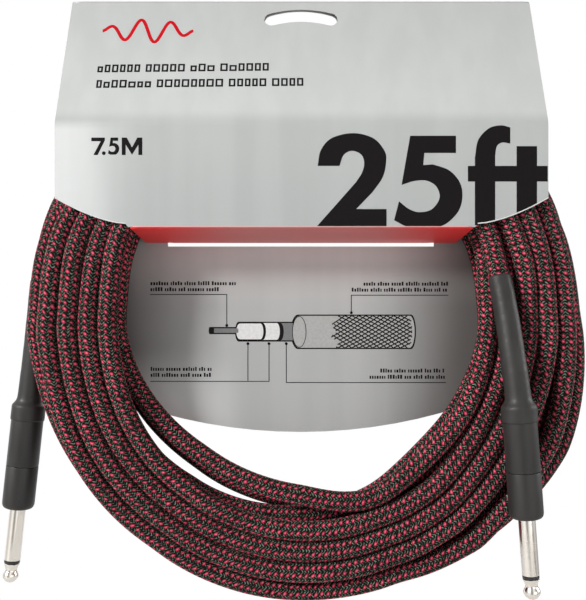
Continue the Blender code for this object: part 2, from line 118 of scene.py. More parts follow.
# How far behind the shell's front three points of the straight jacket inside the plug lie.
JACKET_STATIONS = (33.5, 39.0, 45.5)
BOOT_TOP_INDEX = 2  # which route point each boot ends at
FIXED_INDEX = 3  # the route point up to which each lead stays exactly as in the CAD
LEAD_POINTS = 40  # each lead's fixed part ends within this many points of its plug

CARD_THICK = 0.5
CARD_HALF_WIDTH = 95.0
CARD_DEPTH = 26.0
FOLD_Z = 3.6
CREASE_Z = -51.7
FRONT_BOTTOM_Z = -92.1
FLAP_HALF_WIDTH = 66.0
FLAP_DROP = 3.9
CARD_GAP = 0.3

# ---------------------------------------------------------------- the coil's layout

# Half width, depth below and height above the hub, and the squareness of the upper half.
INNER_HUB = (-0.3, -126.0)
INNER_OVAL = (72.6, 73.4, 48.0, 4.0)
OUTER_HUB = (2.7, -132.0)
OUTER_OVAL = (106.3, 103.3, 91.0, 2.5)
BACK_LAYER_Y = -4.6
LAYER_PITCH = 8.1
# Degrees round the coil, counter-clockwise from the right, and for each turn its lane (millimetres out from
# the inner oval) and its layer (0 at the back, 2 at the front) at each of them.
STATIONS = (90, 150, 180, 235, 270, 290, 308, 335, 360, 382)
TURNS = (
    ((8, 2), (3, 1.2), (-1, 1), (-4.8, 1.2), (-3, 2), (1.5, 2), (-1, 2), (-0.5, 2), (0, 2), (1, 1)),
    ((0, 2), (0, 2), (0, 2), (12.8, 2), (13, 2), (11.5, 2), (9, 2), (7, 1.9), (6.5, 1.75), (8, 1)),
    ((16, 2), (8, 2), (8, 2), (19.5, 2), (20.5, 2), (19, 2), (16, 2), (13, 2), (12.5, 1.8), (12, 2)),
    ((24, 2), (16, 2), (16, 2), (27.5, 2), (28.5, 2), (26.5, 2), (21, 2), (18.5, 2), (18.5, 2), (18, 2)),
    ((25, 1), (24, 1.6), (24, 2), (35, 1.8), (36, 1.3), (35, 1.4), (31, 1.8), (30, 1.8), (29, 1.8),
     (29, 1.6)),
    ((33, 1), (31, 1), (31, 1), (35, 0.9), (29, 1), (29, 1), (28, 1), (25, 0.9), (24, 0.8), (23.5, 1)),
    ((16, 1), (23, 1), (23, 1), (28, 1), (24, 1), (22, 1), (20, 1), (16, 1), (13.5, 1), (16, 1)),
    ((8, 1), (15, 1), (15, 1), (21, 1), (17, 1), (14, 1), (12, 1), (8, 1), (5.5, 1), (6, 0.5)),
    ((0, 1), (7, 1), (7, 1), (14, 1), (10, 1), (3.5, 1), (-1.5, 1), (-0.5, 0.6), (2, 0), (2, 0)),
    ((0, 0), (0, 0), (0, 0), (-0.6, 0), (3.6, 0), (9, 0), (9, 0), (7.5, 0), (10, 0), (10, 0)),
    ((8, 0), (8, 0), (8, 0), (19.5, 0), (16, 0), (15, 0), (15, 0), (15.5, 0), (18, 0), (17, 0)),
    ((16, 0), (16, 0), (16, 0), (27.5, 0), (24, 0), (23, 0), (24, 0), (26, 0), (27, 0.2), (25, 0)),
    ((25, 0), (24, 0), (24, 0), (35, 0), (32.5, 0), (33, 0), (34, 0.4), (36, 0.9), (35, 0.9), (34, 0.4)),
)
LAST_LANE, LAST_LAYER = 36, 0
# How far out the innermost and the outermost lane lie from the two ovals at each of the stations.
INNER_SHIFTS = (0, 3, 5, 0, 0, 2, 2.5, 2.5, 4, 5)
OUTER_SHIFTS = (0, -9.5, 0, -6, -2, -0.8, 8, 8, 2.2, -4.2)
OUTERMOST_LANE = 36
TOP_ANGLE = 90
RING_START_CUT = 12  # degrees of the first turn that the lead's own bend replaces
RING_END_CUT = 10

# Settling
ROUTE_STEP = 5.0
SETTLE_ROUNDS = 400
SEARCH_ROUNDS = 10  # rounds between two searches for neighbours
NEIGHBOUR_REACH = 13.0
NEIGHBOUR_SKIP = 8  # points this near along the same strand aren't neighbours
PLUG_REACH = 18
PLUG_POST_STEP = 3
SIDE_BY_SIDE = 0.64  # of a step: how far apart lengthwise two points may lie and still push
SPEED = 0.6
HOMING = 0.03
SMOOTHING = 0.25
TINY = 1e-6  # keeps divisions by a length from failing
STRAND_PITCH = 8.1
BOOT_ROOM = 4.95
PLUG_ROOM = 6.9
CARD_CLEAR = 0.45
SLOPE_CLEAR = 0.25

TUBE_SIDES = 16
TUBE_STEP = 2.0


# ---------------------------------------------------------------- the cord's line


def oval(hub, shape, angle):
    """Points of an oval: an ellipse below its hub, a superellipse above it."""
    half_width, below, above, squareness = shape
    across, up = np.cos(angle), np.sin(angle)
    power = 2 / squareness
    top = up > 0
    x = np.where(top, np.sign(across) * np.abs(across) ** power, across) * half_width
    z = np.where(top, np.abs(up) ** power * above, up * below)
    return np.stack([hub[0] + x, hub[1] + z], 1)


def lengths(rows):
    """The length of each row of numbers."""
    return np.linalg.norm(rows, axis=1)


def travelled_along(line):
    """How far along a line each of its points lies."""
    return np.concatenate([[0], np.cumsum(lengths(np.diff(line, axis=0)))])


def resample(points, step):
    """The same line with its points an equal step apart."""
    travelled = travelled_along(points)
    count = max(2, round(travelled[-1] / step))
    wanted = np.linspace(0, travelled[-1], count + 1)
    return np.stack([np.interp(wanted, travelled, column) for column in points.T], 1)


def catmull_rom(points, pieces):
    """The smooth curve through these points, each span of it cut into equal shares."""
    share = np.linspace(0, 1, pieces, endpoint=False)[None, :, None]
    ends = np.vstack([2 * points[0] - points[1], points, 2 * points[-1] - points[-2]])
    before, first, second, after = (ends[n : len(ends) - 3 + n][:, None] for n in range(4))
    straight = (second - before) * share
    bend = (2 * before - 5 * first + 4 * second - after) * share**2
    twist = (3 * first - before - 3 * second + after) * share**3
    fine = (2 * first + straight + bend + twist) / 2
    return np.vstack([fine.reshape(-1, points.shape[1]), points[-1:]])


def smooth_route(points, step):
    """Points a step apart along the smooth curve through these points."""
    return resample(catmull_rom(np.array(points, float), 40), step)


def directions(line):
    """The unit direction of travel at each point of a line."""
    way = np.gradient(line, axis=0)
    return way / lengths(way)[:, None]


def on_axis(front, shoulder, station):
    """The point on a plug's axis this far behind its shell's front."""
    front, shoulder = np.array(front), np.array(shoulder)
    return front + (shoulder - front) / np.linalg.norm(shoulder - front) * station


def lead_route(ends, step):
    """A lead from inside its plug to the coil."""
    front, shoulder, route = ends
    inside = [on_axis(front, shoulder, station) for station in JACKET_STATIONS]
    return smooth_route([*inside, *route], step)


def eased(values, angles, where):
    """Smooth values between the stations."""
    index = np.clip(np.searchsorted(angles, where) - 1, 0, len(angles) - 2)
    span = angles[index + 1] - angles[index]
    t = (where - angles[index]) / span
    slopes = np.gradient(values, angles)
    low = (2 * t**3 - 3 * t**2 + 1) * values[index] + (t**3 - 2 * t**2 + t) * span * slopes[index]
    high = (3 * t**2 - 2 * t**3) * values[index + 1] + (t**3 - t**2) * span * slopes[index + 1]
    return low + high


def ring_line():
    """The turns of the coil as the table lays them out, one point a degree."""
    angles, lanes, layers = [], [], []
    for turn, row in enumerate(TURNS):
        for station, (lane, layer) in zip(STATIONS, row):
            angles.append(station + 360 * turn)
            lanes.append(lane)
            layers.append(layer)
    angles.append(TOP_ANGLE + 360 * len(TURNS))
    lanes.append(LAST_LANE)
    layers.append(LAST_LAYER)
    angles, lanes, layers = (np.array(values, float) for values in (angles, lanes, layers))
    where = np.arange(TOP_ANGLE, angles[-1] + 0.1, 1.0)
    lane = eased(lanes, angles, where)
    share = np.clip(lane / OUTERMOST_LANE, 0, 1)
    inner_shift, outer_shift = (
        np.interp(where, STATIONS, shifts, period=360) for shifts in (INNER_SHIFTS, OUTER_SHIFTS)
    )
    lane = lane + inner_shift * (1 - share) + outer_shift * share
    layer = np.clip(eased(layers, angles, where), 0, 2)
    inner = oval(INNER_HUB, INNER_OVAL, np.radians(where))
    way = oval(OUTER_HUB, OUTER_OVAL, np.radians(where)) - inner
    way /= lengths(way)[:, None]
    spot = inner + way * lane[:, None]
    return np.stack([spot[:, 0], BACK_LAYER_Y - LAYER_PITCH * layer, spot[:, 1]], 1)


def between(points, low, high):
    """The part of a line from its point nearest to low up to its point nearest to high."""
    first, last = (lengths(points - end).argmin() for end in (low, high))
    return points[first:last]


def laid_line():
    """The whole cord from plug b to plug a, and the last and the first point of its fixed ends."""
    ring = ring_line()[RING_START_CUT:-RING_END_CUT]
    lead_a, lead_b = lead_route(PLUG_A, ROUTE_STEP)[::-1], lead_route(PLUG_B, ROUTE_STEP)
    # Each lead flows into the ring along a curve through their ends and a point further into each.
    join_b = smooth_route([lead_b[-6], lead_b[-1], ring[0], ring[14]], ROUTE_STEP)
    join_a = smooth_route([ring[-15], ring[-1], lead_a[0], lead_a[5]], ROUTE_STEP)
    line = np.vstack(
        [
            lead_b[:-1],
            between(join_b, lead_b[-1], ring[0]),
            ring[:-1],
            between(join_a, ring[-1], lead_a[0]),
            lead_a,
        ]
    )
    line = resample(line, ROUTE_STEP)
    far_b, far_a = (lengths(line - route[FIXED_INDEX]) for _, _, route in (PLUG_B, PLUG_A))
    end_b = far_b[:LEAD_POINTS].argmin()
    end_a = far_a[-LEAD_POINTS:].argmin() + len(line) - LEAD_POINTS
    return line, end_b, end_a


def inside_card(line, fixed):
    """The line pushed clear of the back panel, the front panel and the tuck flap."""
    x, y, z = line.T.copy()
    room = CABLE_DIAMETER / 2 + CARD_CLEAR
    y = np.minimum(y, -room)
    tunnel = (np.abs(x) < CARD_HALF_WIDTH + 4) & (z > FRONT_BOTTOM_Z - 7)
    y = np.where(tunnel, np.maximum(y, room + CARD_GAP - CARD_DEPTH), y)
    # The slope, from its inner face at the top fold down to the crease
    slope = math.atan2(CARD_DEPTH, FOLD_Z - CREASE_Z)
    depth = (y + CARD_THICK + CARD_GAP) * math.cos(slope) - (z - FOLD_Z + CARD_GAP) * math.sin(slope)
    short = np.where(tunnel, np.maximum(0, room + SLOPE_CLEAR - depth), 0)
    y = np.minimum(y + short * math.cos(slope), -room)
    z = z - short * math.sin(slope)
    # Round the flap's side edges, and above the flap between them
    half = FLAP_HALF_WIDTH + 0.2
    flap_z = FRONT_BOTTOM_Z - FLAP_DROP * (CARD_DEPTH + y) / CARD_DEPTH
    edge = np.clip(x, -half, half)
    size = np.hypot(x - edge, z - flap_z) + TINY
    grow = np.where((size < room) & (z > FRONT_BOTTOM_Z - 18), room / size, 1)
    x = edge + (x - edge) * grow
    z = flap_z + (z - flap_z) * grow
    under = (np.abs(x) < half) & (z < flap_z + room) & (z > FRONT_BOTTOM_Z - 13)
    z = np.where(under, flap_z + room, z)
    moved = np.stack([x, y, z], 1)
    moved[fixed] = line[fixed]
    return moved


def settle(line, end_b, end_a):
    """Pushes the strands apart until they lie beside and on each other, and keeps the line smooth."""
    laid = line.copy()
    count = len(line)
    number = np.arange(count)
    fixed = (number <= end_b) | (number >= end_a)
    radius = np.full(count, STRAND_PITCH / 2)
    radius[: end_b - 2] = BOOT_ROOM
    radius[end_a + 3 :] = BOOT_ROOM
    posts = np.array(
        [
            on_axis(front, shoulder, station)
            for front, shoulder, _ in (PLUG_A, PLUG_B)
            for station in range(0, 46, PLUG_POST_STEP)
        ]
    )
    for turn in range(SETTLE_ROUNDS):
        if turn % SEARCH_ROUNDS == 0:
            square = (line**2).sum(1)
            apart = square[:, None] + square[None, :] - 2 * line @ line.T
            ahead = number[None, :] - number[:, None] > NEIGHBOUR_SKIP
            first, second = np.nonzero((apart < NEIGHBOUR_REACH**2) & ahead)
            who, post = np.nonzero(((line[:, None] - posts[None]) ** 2).sum(2) < PLUG_REACH**2)
        tangent = directions(line)
        same = np.sign((tangent[first] * tangent[second]).sum(1))
        along = tangent[first] + tangent[second] * same[:, None]
        along /= lengths(along)[:, None]
        gap = line[second] - line[first]
        lengthwise = (gap * along).sum(1)
        cross = gap - along * lengthwise[:, None]
        size = lengths(cross) + TINY
        wanted = radius[first] + radius[second]
        use = (np.abs(lengthwise) < ROUTE_STEP * SIDE_BY_SIDE) & (size < wanted)
        push = np.where(use, (wanted - size) * 0.5 / size, 0)[:, None] * cross
        move = np.zeros_like(line)
        hits = np.zeros(count)
        np.add.at(move, first, -push)
        np.add.at(move, second, push)
        np.add.at(hits, first, use)
        np.add.at(hits, second, use)
        gap = line[who] - posts[post]
        size = lengths(gap) + TINY
        short = np.maximum(0, STRAND_PITCH / 2 + PLUG_ROOM - size)
        np.add.at(move, who, short[:, None] * gap / size[:, None])
        np.add.at(hits, who, short > 0)
        move = move / np.sqrt(np.maximum(hits, 1))[:, None] * SPEED + HOMING * (laid - line)
        move[fixed] = 0
        line = line + move
        bend = line - laid
        smooth = line.copy()
        smooth[1:-1] += SMOOTHING * (bend[:-2] + bend[2:] - 2 * bend[1:-1])
        smooth[fixed] = line[fixed]
        line = inside_card(smooth, fixed)
    return line


def cord_line():
    """The settled line from plug a to plug b, finely divided."""
    return resample(catmull_rom(settle(*laid_line()), 3), TUBE_STEP)[::-1]


# ---------------------------------------------------------------- pieces


def placed(name, data):
    """A new object in the scene."""
    thing = bpy.data.objects.new(name, data)
    bpy.context.scene.collection.objects.link(thing)
    return thing


def mesh_piece(name, points, faces):
    """A smooth mesh object from points in metres."""
    mesh = bpy.data.meshes.new(name)
    mesh.from_pydata([tuple(point) for point in points], [], faces)
    mesh.update()
    mesh.shade_smooth()
    return placed(name, mesh)


def tube(name, line, radius, sides):
    """A round tube along a line in millimetres, with UVs along and round it, twisting as little as it can."""
    count = len(line)
    tangent = directions(line)
    side = np.zeros_like(line)
    normal = np.cross(tangent[0], (0, 1, 0))
    normal /= np.linalg.norm(normal)
    for number in range(count):
        normal = normal - tangent[number] * normal.dot(tangent[number])
        normal /= np.linalg.norm(normal)
        side[number] = normal
    other = np.cross(tangent, side)
    turn = np.arange(sides) / sides * 2 * math.pi
    radii = np.broadcast_to(np.asarray(radius, float), (count,))
    ring = side[:, None] * np.cos(turn)[None, :, None] + other[:, None] * np.sin(turn)[None, :, None]
    points = (line[:, None] + ring * radii[:, None, None]).reshape(-1, 3) * MM
    row = np.repeat(np.arange(count - 1), sides)
    column = np.tile(np.arange(sides), count - 1)
    following = (column + 1) % sides
    low, high = row * sides, (row + 1) * sides
    quads = np.stack([low + column, low + following, high + following, high + column], 1)
    caps = np.array([np.arange(sides)[::-1], np.arange(sides) + (count - 1) * sides])
    piece = mesh_piece(name, points, [*quads.tolist(), *caps.tolist()])
    travelled = travelled_along(line)
    start, end = travelled[row] * MM, travelled[row + 1] * MM
    lengthwise = np.stack([start, start, end, end], 1)
    round_it = np.stack([column, column + 1, column + 1, column], 1) / sides
    uv = np.stack([lengthwise, round_it], 2)
    layer = piece.data.uv_layers.new(name="along")
    layer.data.foreach_set("uv", np.concatenate([uv.ravel(), np.zeros(2 * caps.size)]))
    return piece


def welded(mesh, drop_slivers=False):
    """Joins a mesh's points that coincide and turns its faces outward."""
    bm = bmesh.new()
    bm.from_mesh(mesh)
    bmesh.ops.remove_doubles(bm, verts=bm.verts, dist=0.002 * MM)
    if drop_slivers:
        bmesh.ops.dissolve_degenerate(bm, dist=0.001 * MM, edges=bm.edges)
    bmesh.ops.recalc_face_normals(bm, faces=bm.faces)
    bm.to_mesh(mesh)
    bm.free()
    return mesh


def dress(piece, body, material, slot, *nodes):
    """Gives a piece its body and material, and says which CAD nodes it stands for; the slot is not used."""
    piece.data.materials.clear()
    piece.data.materials.append(material)
    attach(piece, body)
    if nodes:
        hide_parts(*nodes)
    return piece


def wear(node, material):
    """A CAD node keeps its shape and takes this material."""
    materials = NODES[node].data.materials
    materials.clear()
    materials.append(material)


# ---------------------------------------------------------------- materials


class Nodes:
    """Short ways to add nodes to a node tree. Places on the object and in the air are in metres."""

    def __init__(self, tree):
        self.tree = tree

    def set(self, node, socket, value):
        """Links an output to a socket, or sets its value."""
        target = node.inputs[socket]
        if isinstance(value, bpy.types.NodeSocket):
            self.tree.links.new(value, target)
        elif isinstance(value, tuple) and len(value) == 3 and target.type == "RGBA":
            target.default_value = (*value, 1.0)
        else:
            target.default_value = value

    def node(self, kind, inputs=None, **settings):
        made = self.tree.nodes.new("ShaderNode" + kind)
        for setting, value in settings.items():
            setattr(made, setting, value)
        for socket, value in (inputs or {}).items():
            self.set(made, socket, value)
        return made

    def math(self, operation, *values):
        return self.node("Math", dict(enumerate(values)), operation=operation).outputs[0]

    def plus(self, first, second):
        return self.math("ADD", first, second)

    def minus(self, first, second):
        return self.math("SUBTRACT", first, second)

    def times(self, first, second):
        return self.math("MULTIPLY", first, second)

    def over(self, first, second):
        return self.math("DIVIDE", first, second)

    def size(self, value):
        return self.math("ABSOLUTE", value)

    def ramp(self, value, low, high, out_low=0.0, out_high=1.0, ease="SMOOTHSTEP"):
        """From out_low to out_high as value goes from low to high."""
        limits = {"Value": value, "From Min": low, "From Max": high, "To Min": out_low, "To Max": out_high}
        return self.node("MapRange", limits, interpolation_type=ease).outputs["Result"]

    def mix(self, share, first, second, blend="MIX"):
        inputs = {0: share, 6: first, 7: second}
        return self.node("Mix", inputs, data_type="RGBA", blend_type=blend).outputs[2]

    def split(self, vector):
        return self.node("SeparateXYZ", {"Vector": vector}).outputs

    def join(self, x, y, z=0.0):
        return self.node("CombineXYZ", {"X": x, "Y": y, "Z": z}).outputs[0]

    def coordinate(self, kind):
        return self.node("TexCoord").outputs[kind]

    def noise(self, vector, scale, detail=2.0):
        return self.node("TexNoise", {"Vector": vector, "Scale": scale, "Detail": detail}).outputs["Fac"]

    def stretched(self, vector, factors):
        return self.node("VectorMath", {0: vector, 1: factors}, operation="MULTIPLY").outputs[0]


class Shader(Nodes):
    """A Principled material."""

    def __init__(self, name, colour, roughness, metallic=0.0, **more):
        self.material = bpy.data.materials.new(name)
        self.material.use_nodes = True
        super().__init__(self.material.node_tree)
        self.main = self.tree.nodes["Principled BSDF"]
        self.surface(Base_Color=colour, Roughness=roughness, Metallic=metallic, **more)

    def surface(self, **values):
        for socket, value in values.items():
            self.set(self.main, socket.replace("_", " "), value)

    def bump(self, height, strength, distance_mm):
        inputs = {"Height": height, "Strength": strength, "Distance": distance_mm * MM}
        self.surface(Normal=self.node("Bump", inputs).outputs[0])


DASH_PITCH_M = 0.00243
DASH_COLUMNS = 8
DASH_HALF_WIDTH = 0.33  # of a column
DASH_HALF_LENGTH = 0.32  # of a pitch
DASH_SLANT = 0.5
COLUMN_LAG = 0.12
DASH_WANDER = 0.5
DASH_DRIFT = 0.4
CHEVRONS_PER_DASH = 2
CHEVRON_LEAN = 2.6
# The pale thread colour is partly the green thread's own colour and partly a painted highlight.
BLACK_THREAD, PALE_THREAD_AND_HIGHLIGHT = (0.005, 0.007, 0.005), (0.25, 0.33, 0.25)
DULL_CRIMSON, BRIGHT_CRIMSON = (0.4, 0.012, 0.045), (0.85, 0.055, 0.13)
# The dash core colour is a painted highlight in the middle of each dash.
DASH_RIM, DASH_PAINTED_HIGHLIGHT = (0.1, 0.003, 0.01), (1.0, 0.4, 0.5)
DARKER_STRETCH = (0.006, 0.003, 0.003)


def braid_material():
    """Woven jacket: eight columns of slanted crimson dashes, black and pale green threads between them, with
    a painted highlight in each dash and on the pale threads.
    """
    shader = Shader("braid", DULL_CRIMSON, 0.8, Specular_IOR_Level=0.08)
    plus, minus, times, over = shader.plus, shader.minus, shader.times, shader.over
    along, around, _ = shader.split(shader.node("UVMap", uv_map="along").outputs[0])
    along = over(along, DASH_PITCH_M)
    around = times(around, DASH_COLUMNS)
    # No two stitches are quite alike: they wander a little along and across the cable.
    wander = shader.noise(shader.join(times(along, 0.5), around), 1.0)
    along = plus(along, times(minus(wander, 0.5), DASH_WANDER))
    drift = shader.noise(shader.join(times(along, 0.8), around, 7.0), 1.0)
    shifted = plus(around, times(minus(drift, 0.5), DASH_DRIFT))
    column = shader.math("FLOOR", shifted)
    across = minus(shader.math("FRACT", shifted), 0.5)
    slanted = plus(along, plus(times(across, DASH_SLANT), times(column, COLUMN_LAG)))
    lengthwise = minus(shader.math("FRACT", slanted), 0.5)
    across_share = over(shader.size(across), DASH_HALF_WIDTH)
    length_share = over(shader.size(lengthwise), DASH_HALF_LENGTH)
    reach = plus(shader.math("POWER", across_share, 2.0), shader.math("POWER", length_share, 2.0))
    dash = shader.ramp(reach, 0.6, 1.25, 1.0, 0.0)
    # Chevrons of thin pale thread between the dashes, broken into flecks; their pale green is partly a
    # painted highlight.
    chevron = plus(times(along, CHEVRONS_PER_DASH), times(shader.size(across), CHEVRON_LEAN))
    chevron = shader.math("SINE", times(chevron, math.tau))
    fleck = shader.noise(shader.join(times(along, 2.9), times(around, 2.6)), 1.0)
    fleck = times(minus(fleck, 0.5), 5.0)
    thread = shader.ramp(plus(chevron, fleck), 0.3, 1.6)
    green = shader.mix(thread, BLACK_THREAD, PALE_THREAD_AND_HIGHLIGHT)
    tint = shader.noise(shader.join(slanted, column), 0.9)
    crimson = shader.mix(shader.ramp(tint, 0.3, 0.7), DULL_CRIMSON, BRIGHT_CRIMSON)
    crimson = shader.mix(shader.ramp(reach, 0.15, 1.1), crimson, DASH_RIM)
    # Painted highlight: the middle of each dash is painted pale pink.
    crimson = shader.mix(shader.ramp(reach, 0.0, 0.3, 0.4, 0.0), crimson, DASH_PAINTED_HIGHLIGHT)
    # Random stretches of the cable are a little darker.
    darker_stretch = shader.noise(shader.join(times(along, 0.05), 0.0), 1.0)
    woven = shader.mix(dash, green, crimson)
    woven = shader.mix(shader.ramp(darker_stretch, 0.35, 0.65, 0.0, 0.25), woven, DARKER_STRETCH)
    shader.surface(Base_Color=woven)
    dome = shader.math("MAXIMUM", minus(1.15, reach), 0.0)
    shader.bump(plus(dome, times(thread, 0.4)), 1.0, 0.4)
    return shader.material


BOARD_BACK = (0.5, 0.495, 0.47)
BOARD_EDGE = (0.8, 0.79, 0.76)
PLAIN_SILVER = (0.5, 0.505, 0.495)
# The back panel's sides carry painted shade, and its low part and top carry painted light.
BACK_MIDDLE, BACK_PAINTED_SHADE = (0.42, 0.425, 0.417), (0.125, 0.118, 0.112)
BACK_PAINTED_LIGHT_LOW, BACK_PAINTED_LIGHT_TOP = (0.92, 0.93, 0.91), (0.72, 0.68, 0.66)
# The front panel's colours carry painted shade low down and painted light on the slope and at the left.
FRONT_LOWER_PAINTED_SHADE = ((0.455, 0.47, 0.46), (0.49, 0.505, 0.49))
FRONT_UPPER_PAINTED_LIGHT = ((0.59, 0.605, 0.59), (0.525, 0.535, 0.52))
FRONT_LEFT_PAINTED_LIGHT = (0.82, 0.83, 0.82)
FLAP_RED, FLAP_MIDDLE, FLAP_INSIDE = (0.85, 0.03, 0.03), (0.6, 0.17, 0.16), (0.6, 0.6, 0.58)
CARD_GRAIN = 1400.0


def card_material(name, shade):
    """Satin card: faint streaks, a fine grain, and the white core showing on every cut edge."""
    shader = Shader(name, PLAIN_SILVER, 0.42, Specular_IOR_Level=0.45)
    place = shader.coordinate("Object")
    streak = shader.noise(shader.stretched(place, (90.0, 90.0, 5.0)), 1.0, 3.0)
    normal = shader.split(shader.coordinate("Normal"))
    # The front face takes its painted light and shade from shade; a face turned to the back is plain board.
    colour = shader.mix(shader.ramp(normal[1], 0.3, 0.5), shade(shader, place), BOARD_BACK)
    light = shader.mix(shader.ramp(streak, 0.35, 0.68), (0.95, 0.95, 0.95), (1.0, 1.0, 1.0))
    colour = shader.mix(1.0, colour, light, "MULTIPLY")
    cut = shader.ramp(shader.size(normal[1]), 0.25, 0.35, 1.0, 0.0)
    cut = shader.math("MAXIMUM", cut, shader.ramp(shader.size(normal[0]), 0.9, 0.95))
    rough = shader.ramp(streak, 0.2, 0.8, 0.36, 0.5)
    shader.surface(Base_Color=shader.mix(cut, colour, BOARD_EDGE), Roughness=rough)
    shader.bump(shader.noise(place, CARD_GRAIN), 0.15, 0.05)
    return shader.material


def back_painted_shading(shader, place):
    """Painted shade darker and warmer towards the sides, the right more than the left, and painted light
    lightest low down and at the top middle.
    """
    x, _, z = shader.split(place)
    times = shader.times
    left = shader.ramp(x, -0.078, -0.04, 1.0, 0.0)
    right = shader.ramp(x, 0.022, 0.07)
    low = shader.ramp(z, -0.172, -0.138, 1.0, 0.0)
    left = times(left, shader.minus(0.85, times(low, 0.9)))
    right = times(right, shader.minus(1.0, times(low, 0.1)))
    sides = shader.math("MAXIMUM", shader.plus(left, right), 0.0)
    base = shader.mix(sides, BACK_MIDDLE, BACK_PAINTED_SHADE)
    base = shader.mix(times(low, shader.ramp(x, -0.055, -0.02, 1.0, 0.0)), base, BACK_PAINTED_LIGHT_LOW)
    middle = shader.ramp(shader.size(x), 0.02, 0.06, 0.8, 0.25)
    base = shader.mix(times(shader.ramp(z, -0.125, -0.1), middle), base, BACK_PAINTED_LIGHT_TOP)
    return shader.mix(shader.ramp(z, -0.097, -0.086), base, PLAIN_SILVER)


def front_painted_shading(shader, place):
    """Painted light lighter on the slope than below its crease, and lightest at the left of the lower part;
    painted shade darker towards the bottom.
    """
    x, _, z = shader.split(place)
    left = shader.ramp(x, -0.095, -0.06, 1.0, 0.0)
    left = shader.times(left, shader.ramp(z, -0.055, -0.05, 1.0, 0.0))
    lower = shader.mix(shader.ramp(z, -0.092, -0.055), *FRONT_LOWER_PAINTED_SHADE)
    upper = shader.mix(shader.ramp(z, -0.05, 0.004), *FRONT_UPPER_PAINTED_LIGHT)
    base = shader.mix(shader.ramp(z, -0.052, -0.046), lower, upper)
    return shader.mix(shader.times(left, 0.75), base, FRONT_LEFT_PAINTED_LIGHT)


def flap_material():
    """Red print on the outside of the flap and its tab, paler in the middle; grey card on the inside."""
    shader = Shader("flap_card", FLAP_RED, 0.45)
    place = shader.coordinate("Object")
    middle = shader.ramp(shader.size(shader.split(place)[0]), 0.02, 0.062, 1.0, 0.0)
    mottle = shader.noise(shader.stretched(place, (30.0, 4.0, 4.0)), 1.0)
    red = shader.mix(shader.times(middle, shader.ramp(mottle, 0.3, 0.7, 0.75, 1.0)), FLAP_RED, FLAP_MIDDLE)
    inside = shader.ramp(shader.split(shader.coordinate("Normal"))[2], 0.2, 0.4)
    shader.surface(Base_Color=shader.mix(inside, red, FLAP_INSIDE))
    shader.bump(shader.noise(place, CARD_GRAIN), 0.15, 0.05)
    return shader.material


def mottled(name, colour, roughness, scale, fade, dark, detail=2.0, **more):
    """A material with soft darker spots, and the noise that makes them."""
    shader = Shader(name, colour, roughness, **more)
    spots = shader.noise(shader.coordinate("Object"), scale, detail)
    darker = tuple(value * dark for value in colour)
    shader.surface(Base_Color=shader.mix(shader.ramp(spots, *fade), darker, colour))
    return shader, spots


def ink(name, colour, roughness=0.5):
    """Printed ink with a slight unevenness."""
    return mottled(name, colour, roughness, 900.0, (0.4, 0.6), 0.92, 3.0, Specular_IOR_Level=0.12)[0].material


def plain_material(name, colour, roughness, metallic=0.0, scale=700.0):
    """A moulded or stamped material with a slight mottle and grain."""
    shader, mottle = mottled(name, colour, roughness, scale, (0.35, 0.65), 0.8, metallic=metallic)
    shader.bump(mottle, 0.15, 0.04)
    return shader.material


def shrink_material():
    """Heat-shrink: matte charcoal with a faint orange-peel skin and soft wrinkles along it."""
    shader = Shader("heat_shrink", (0.022, 0.0215, 0.02), 0.5, Specular_IOR_Level=0.35)
    place = shader.coordinate("Object")
    peel = shader.noise(place, 900.0, 3.0)
    wrinkle = shader.noise(shader.stretched(place, (260.0, 260.0, 60.0)), 1.0)
    colour = shader.mix(shader.ramp(wrinkle, 0.3, 0.7), (0.019, 0.018, 0.017), (0.029, 0.028, 0.026))
    shader.surface(Base_Color=colour, Roughness=shader.ramp(peel, 0.3, 0.7, 0.44, 0.58))
    shader.bump(shader.plus(shader.times(peel, 0.3), wrinkle), 0.25, 0.12)
    return shader.material


def shell_material():
    """Satin black shell under a thin shrink film."""
    shader = Shader("shell_black", (0.03, 0.029, 0.028), 0.42, Specular_IOR_Level=0.35)
    place = shader.coordinate("Object")
    scuff = shader.noise(shader.stretched(place, (200.0, 200.0, 30.0)), 1.0, 3.0)
    colour = shader.mix(shader.ramp(scuff, 0.4, 0.75), (0.022, 0.021, 0.02), (0.031, 0.029, 0.027))
    shader.surface(Base_Color=colour, Roughness=shader.ramp(scuff, 0.3, 0.7, 0.38, 0.5))
    shader.bump(shader.noise(place, 1300.0), 0.12, 0.06)
    return shader.material


def nickel_material():
    """Nickel plate with faint turning marks and fingerprints."""
    shader = Shader("nickel", (0.79, 0.74, 0.67), 0.2, 1.0)
    place = shader.coordinate("Object")
    smear = shader.noise(place, 160.0, 3.0)
    shader.surface(Roughness=shader.ramp(smear, 0.3, 0.75, 0.14, 0.28))
    shader.bump(shader.noise(shader.stretched(place, (60.0, 60.0, 5200.0)), 1.0, 1.0), 0.1, 0.02)
    return shader.material


# ---------------------------------------------------------------- plugs

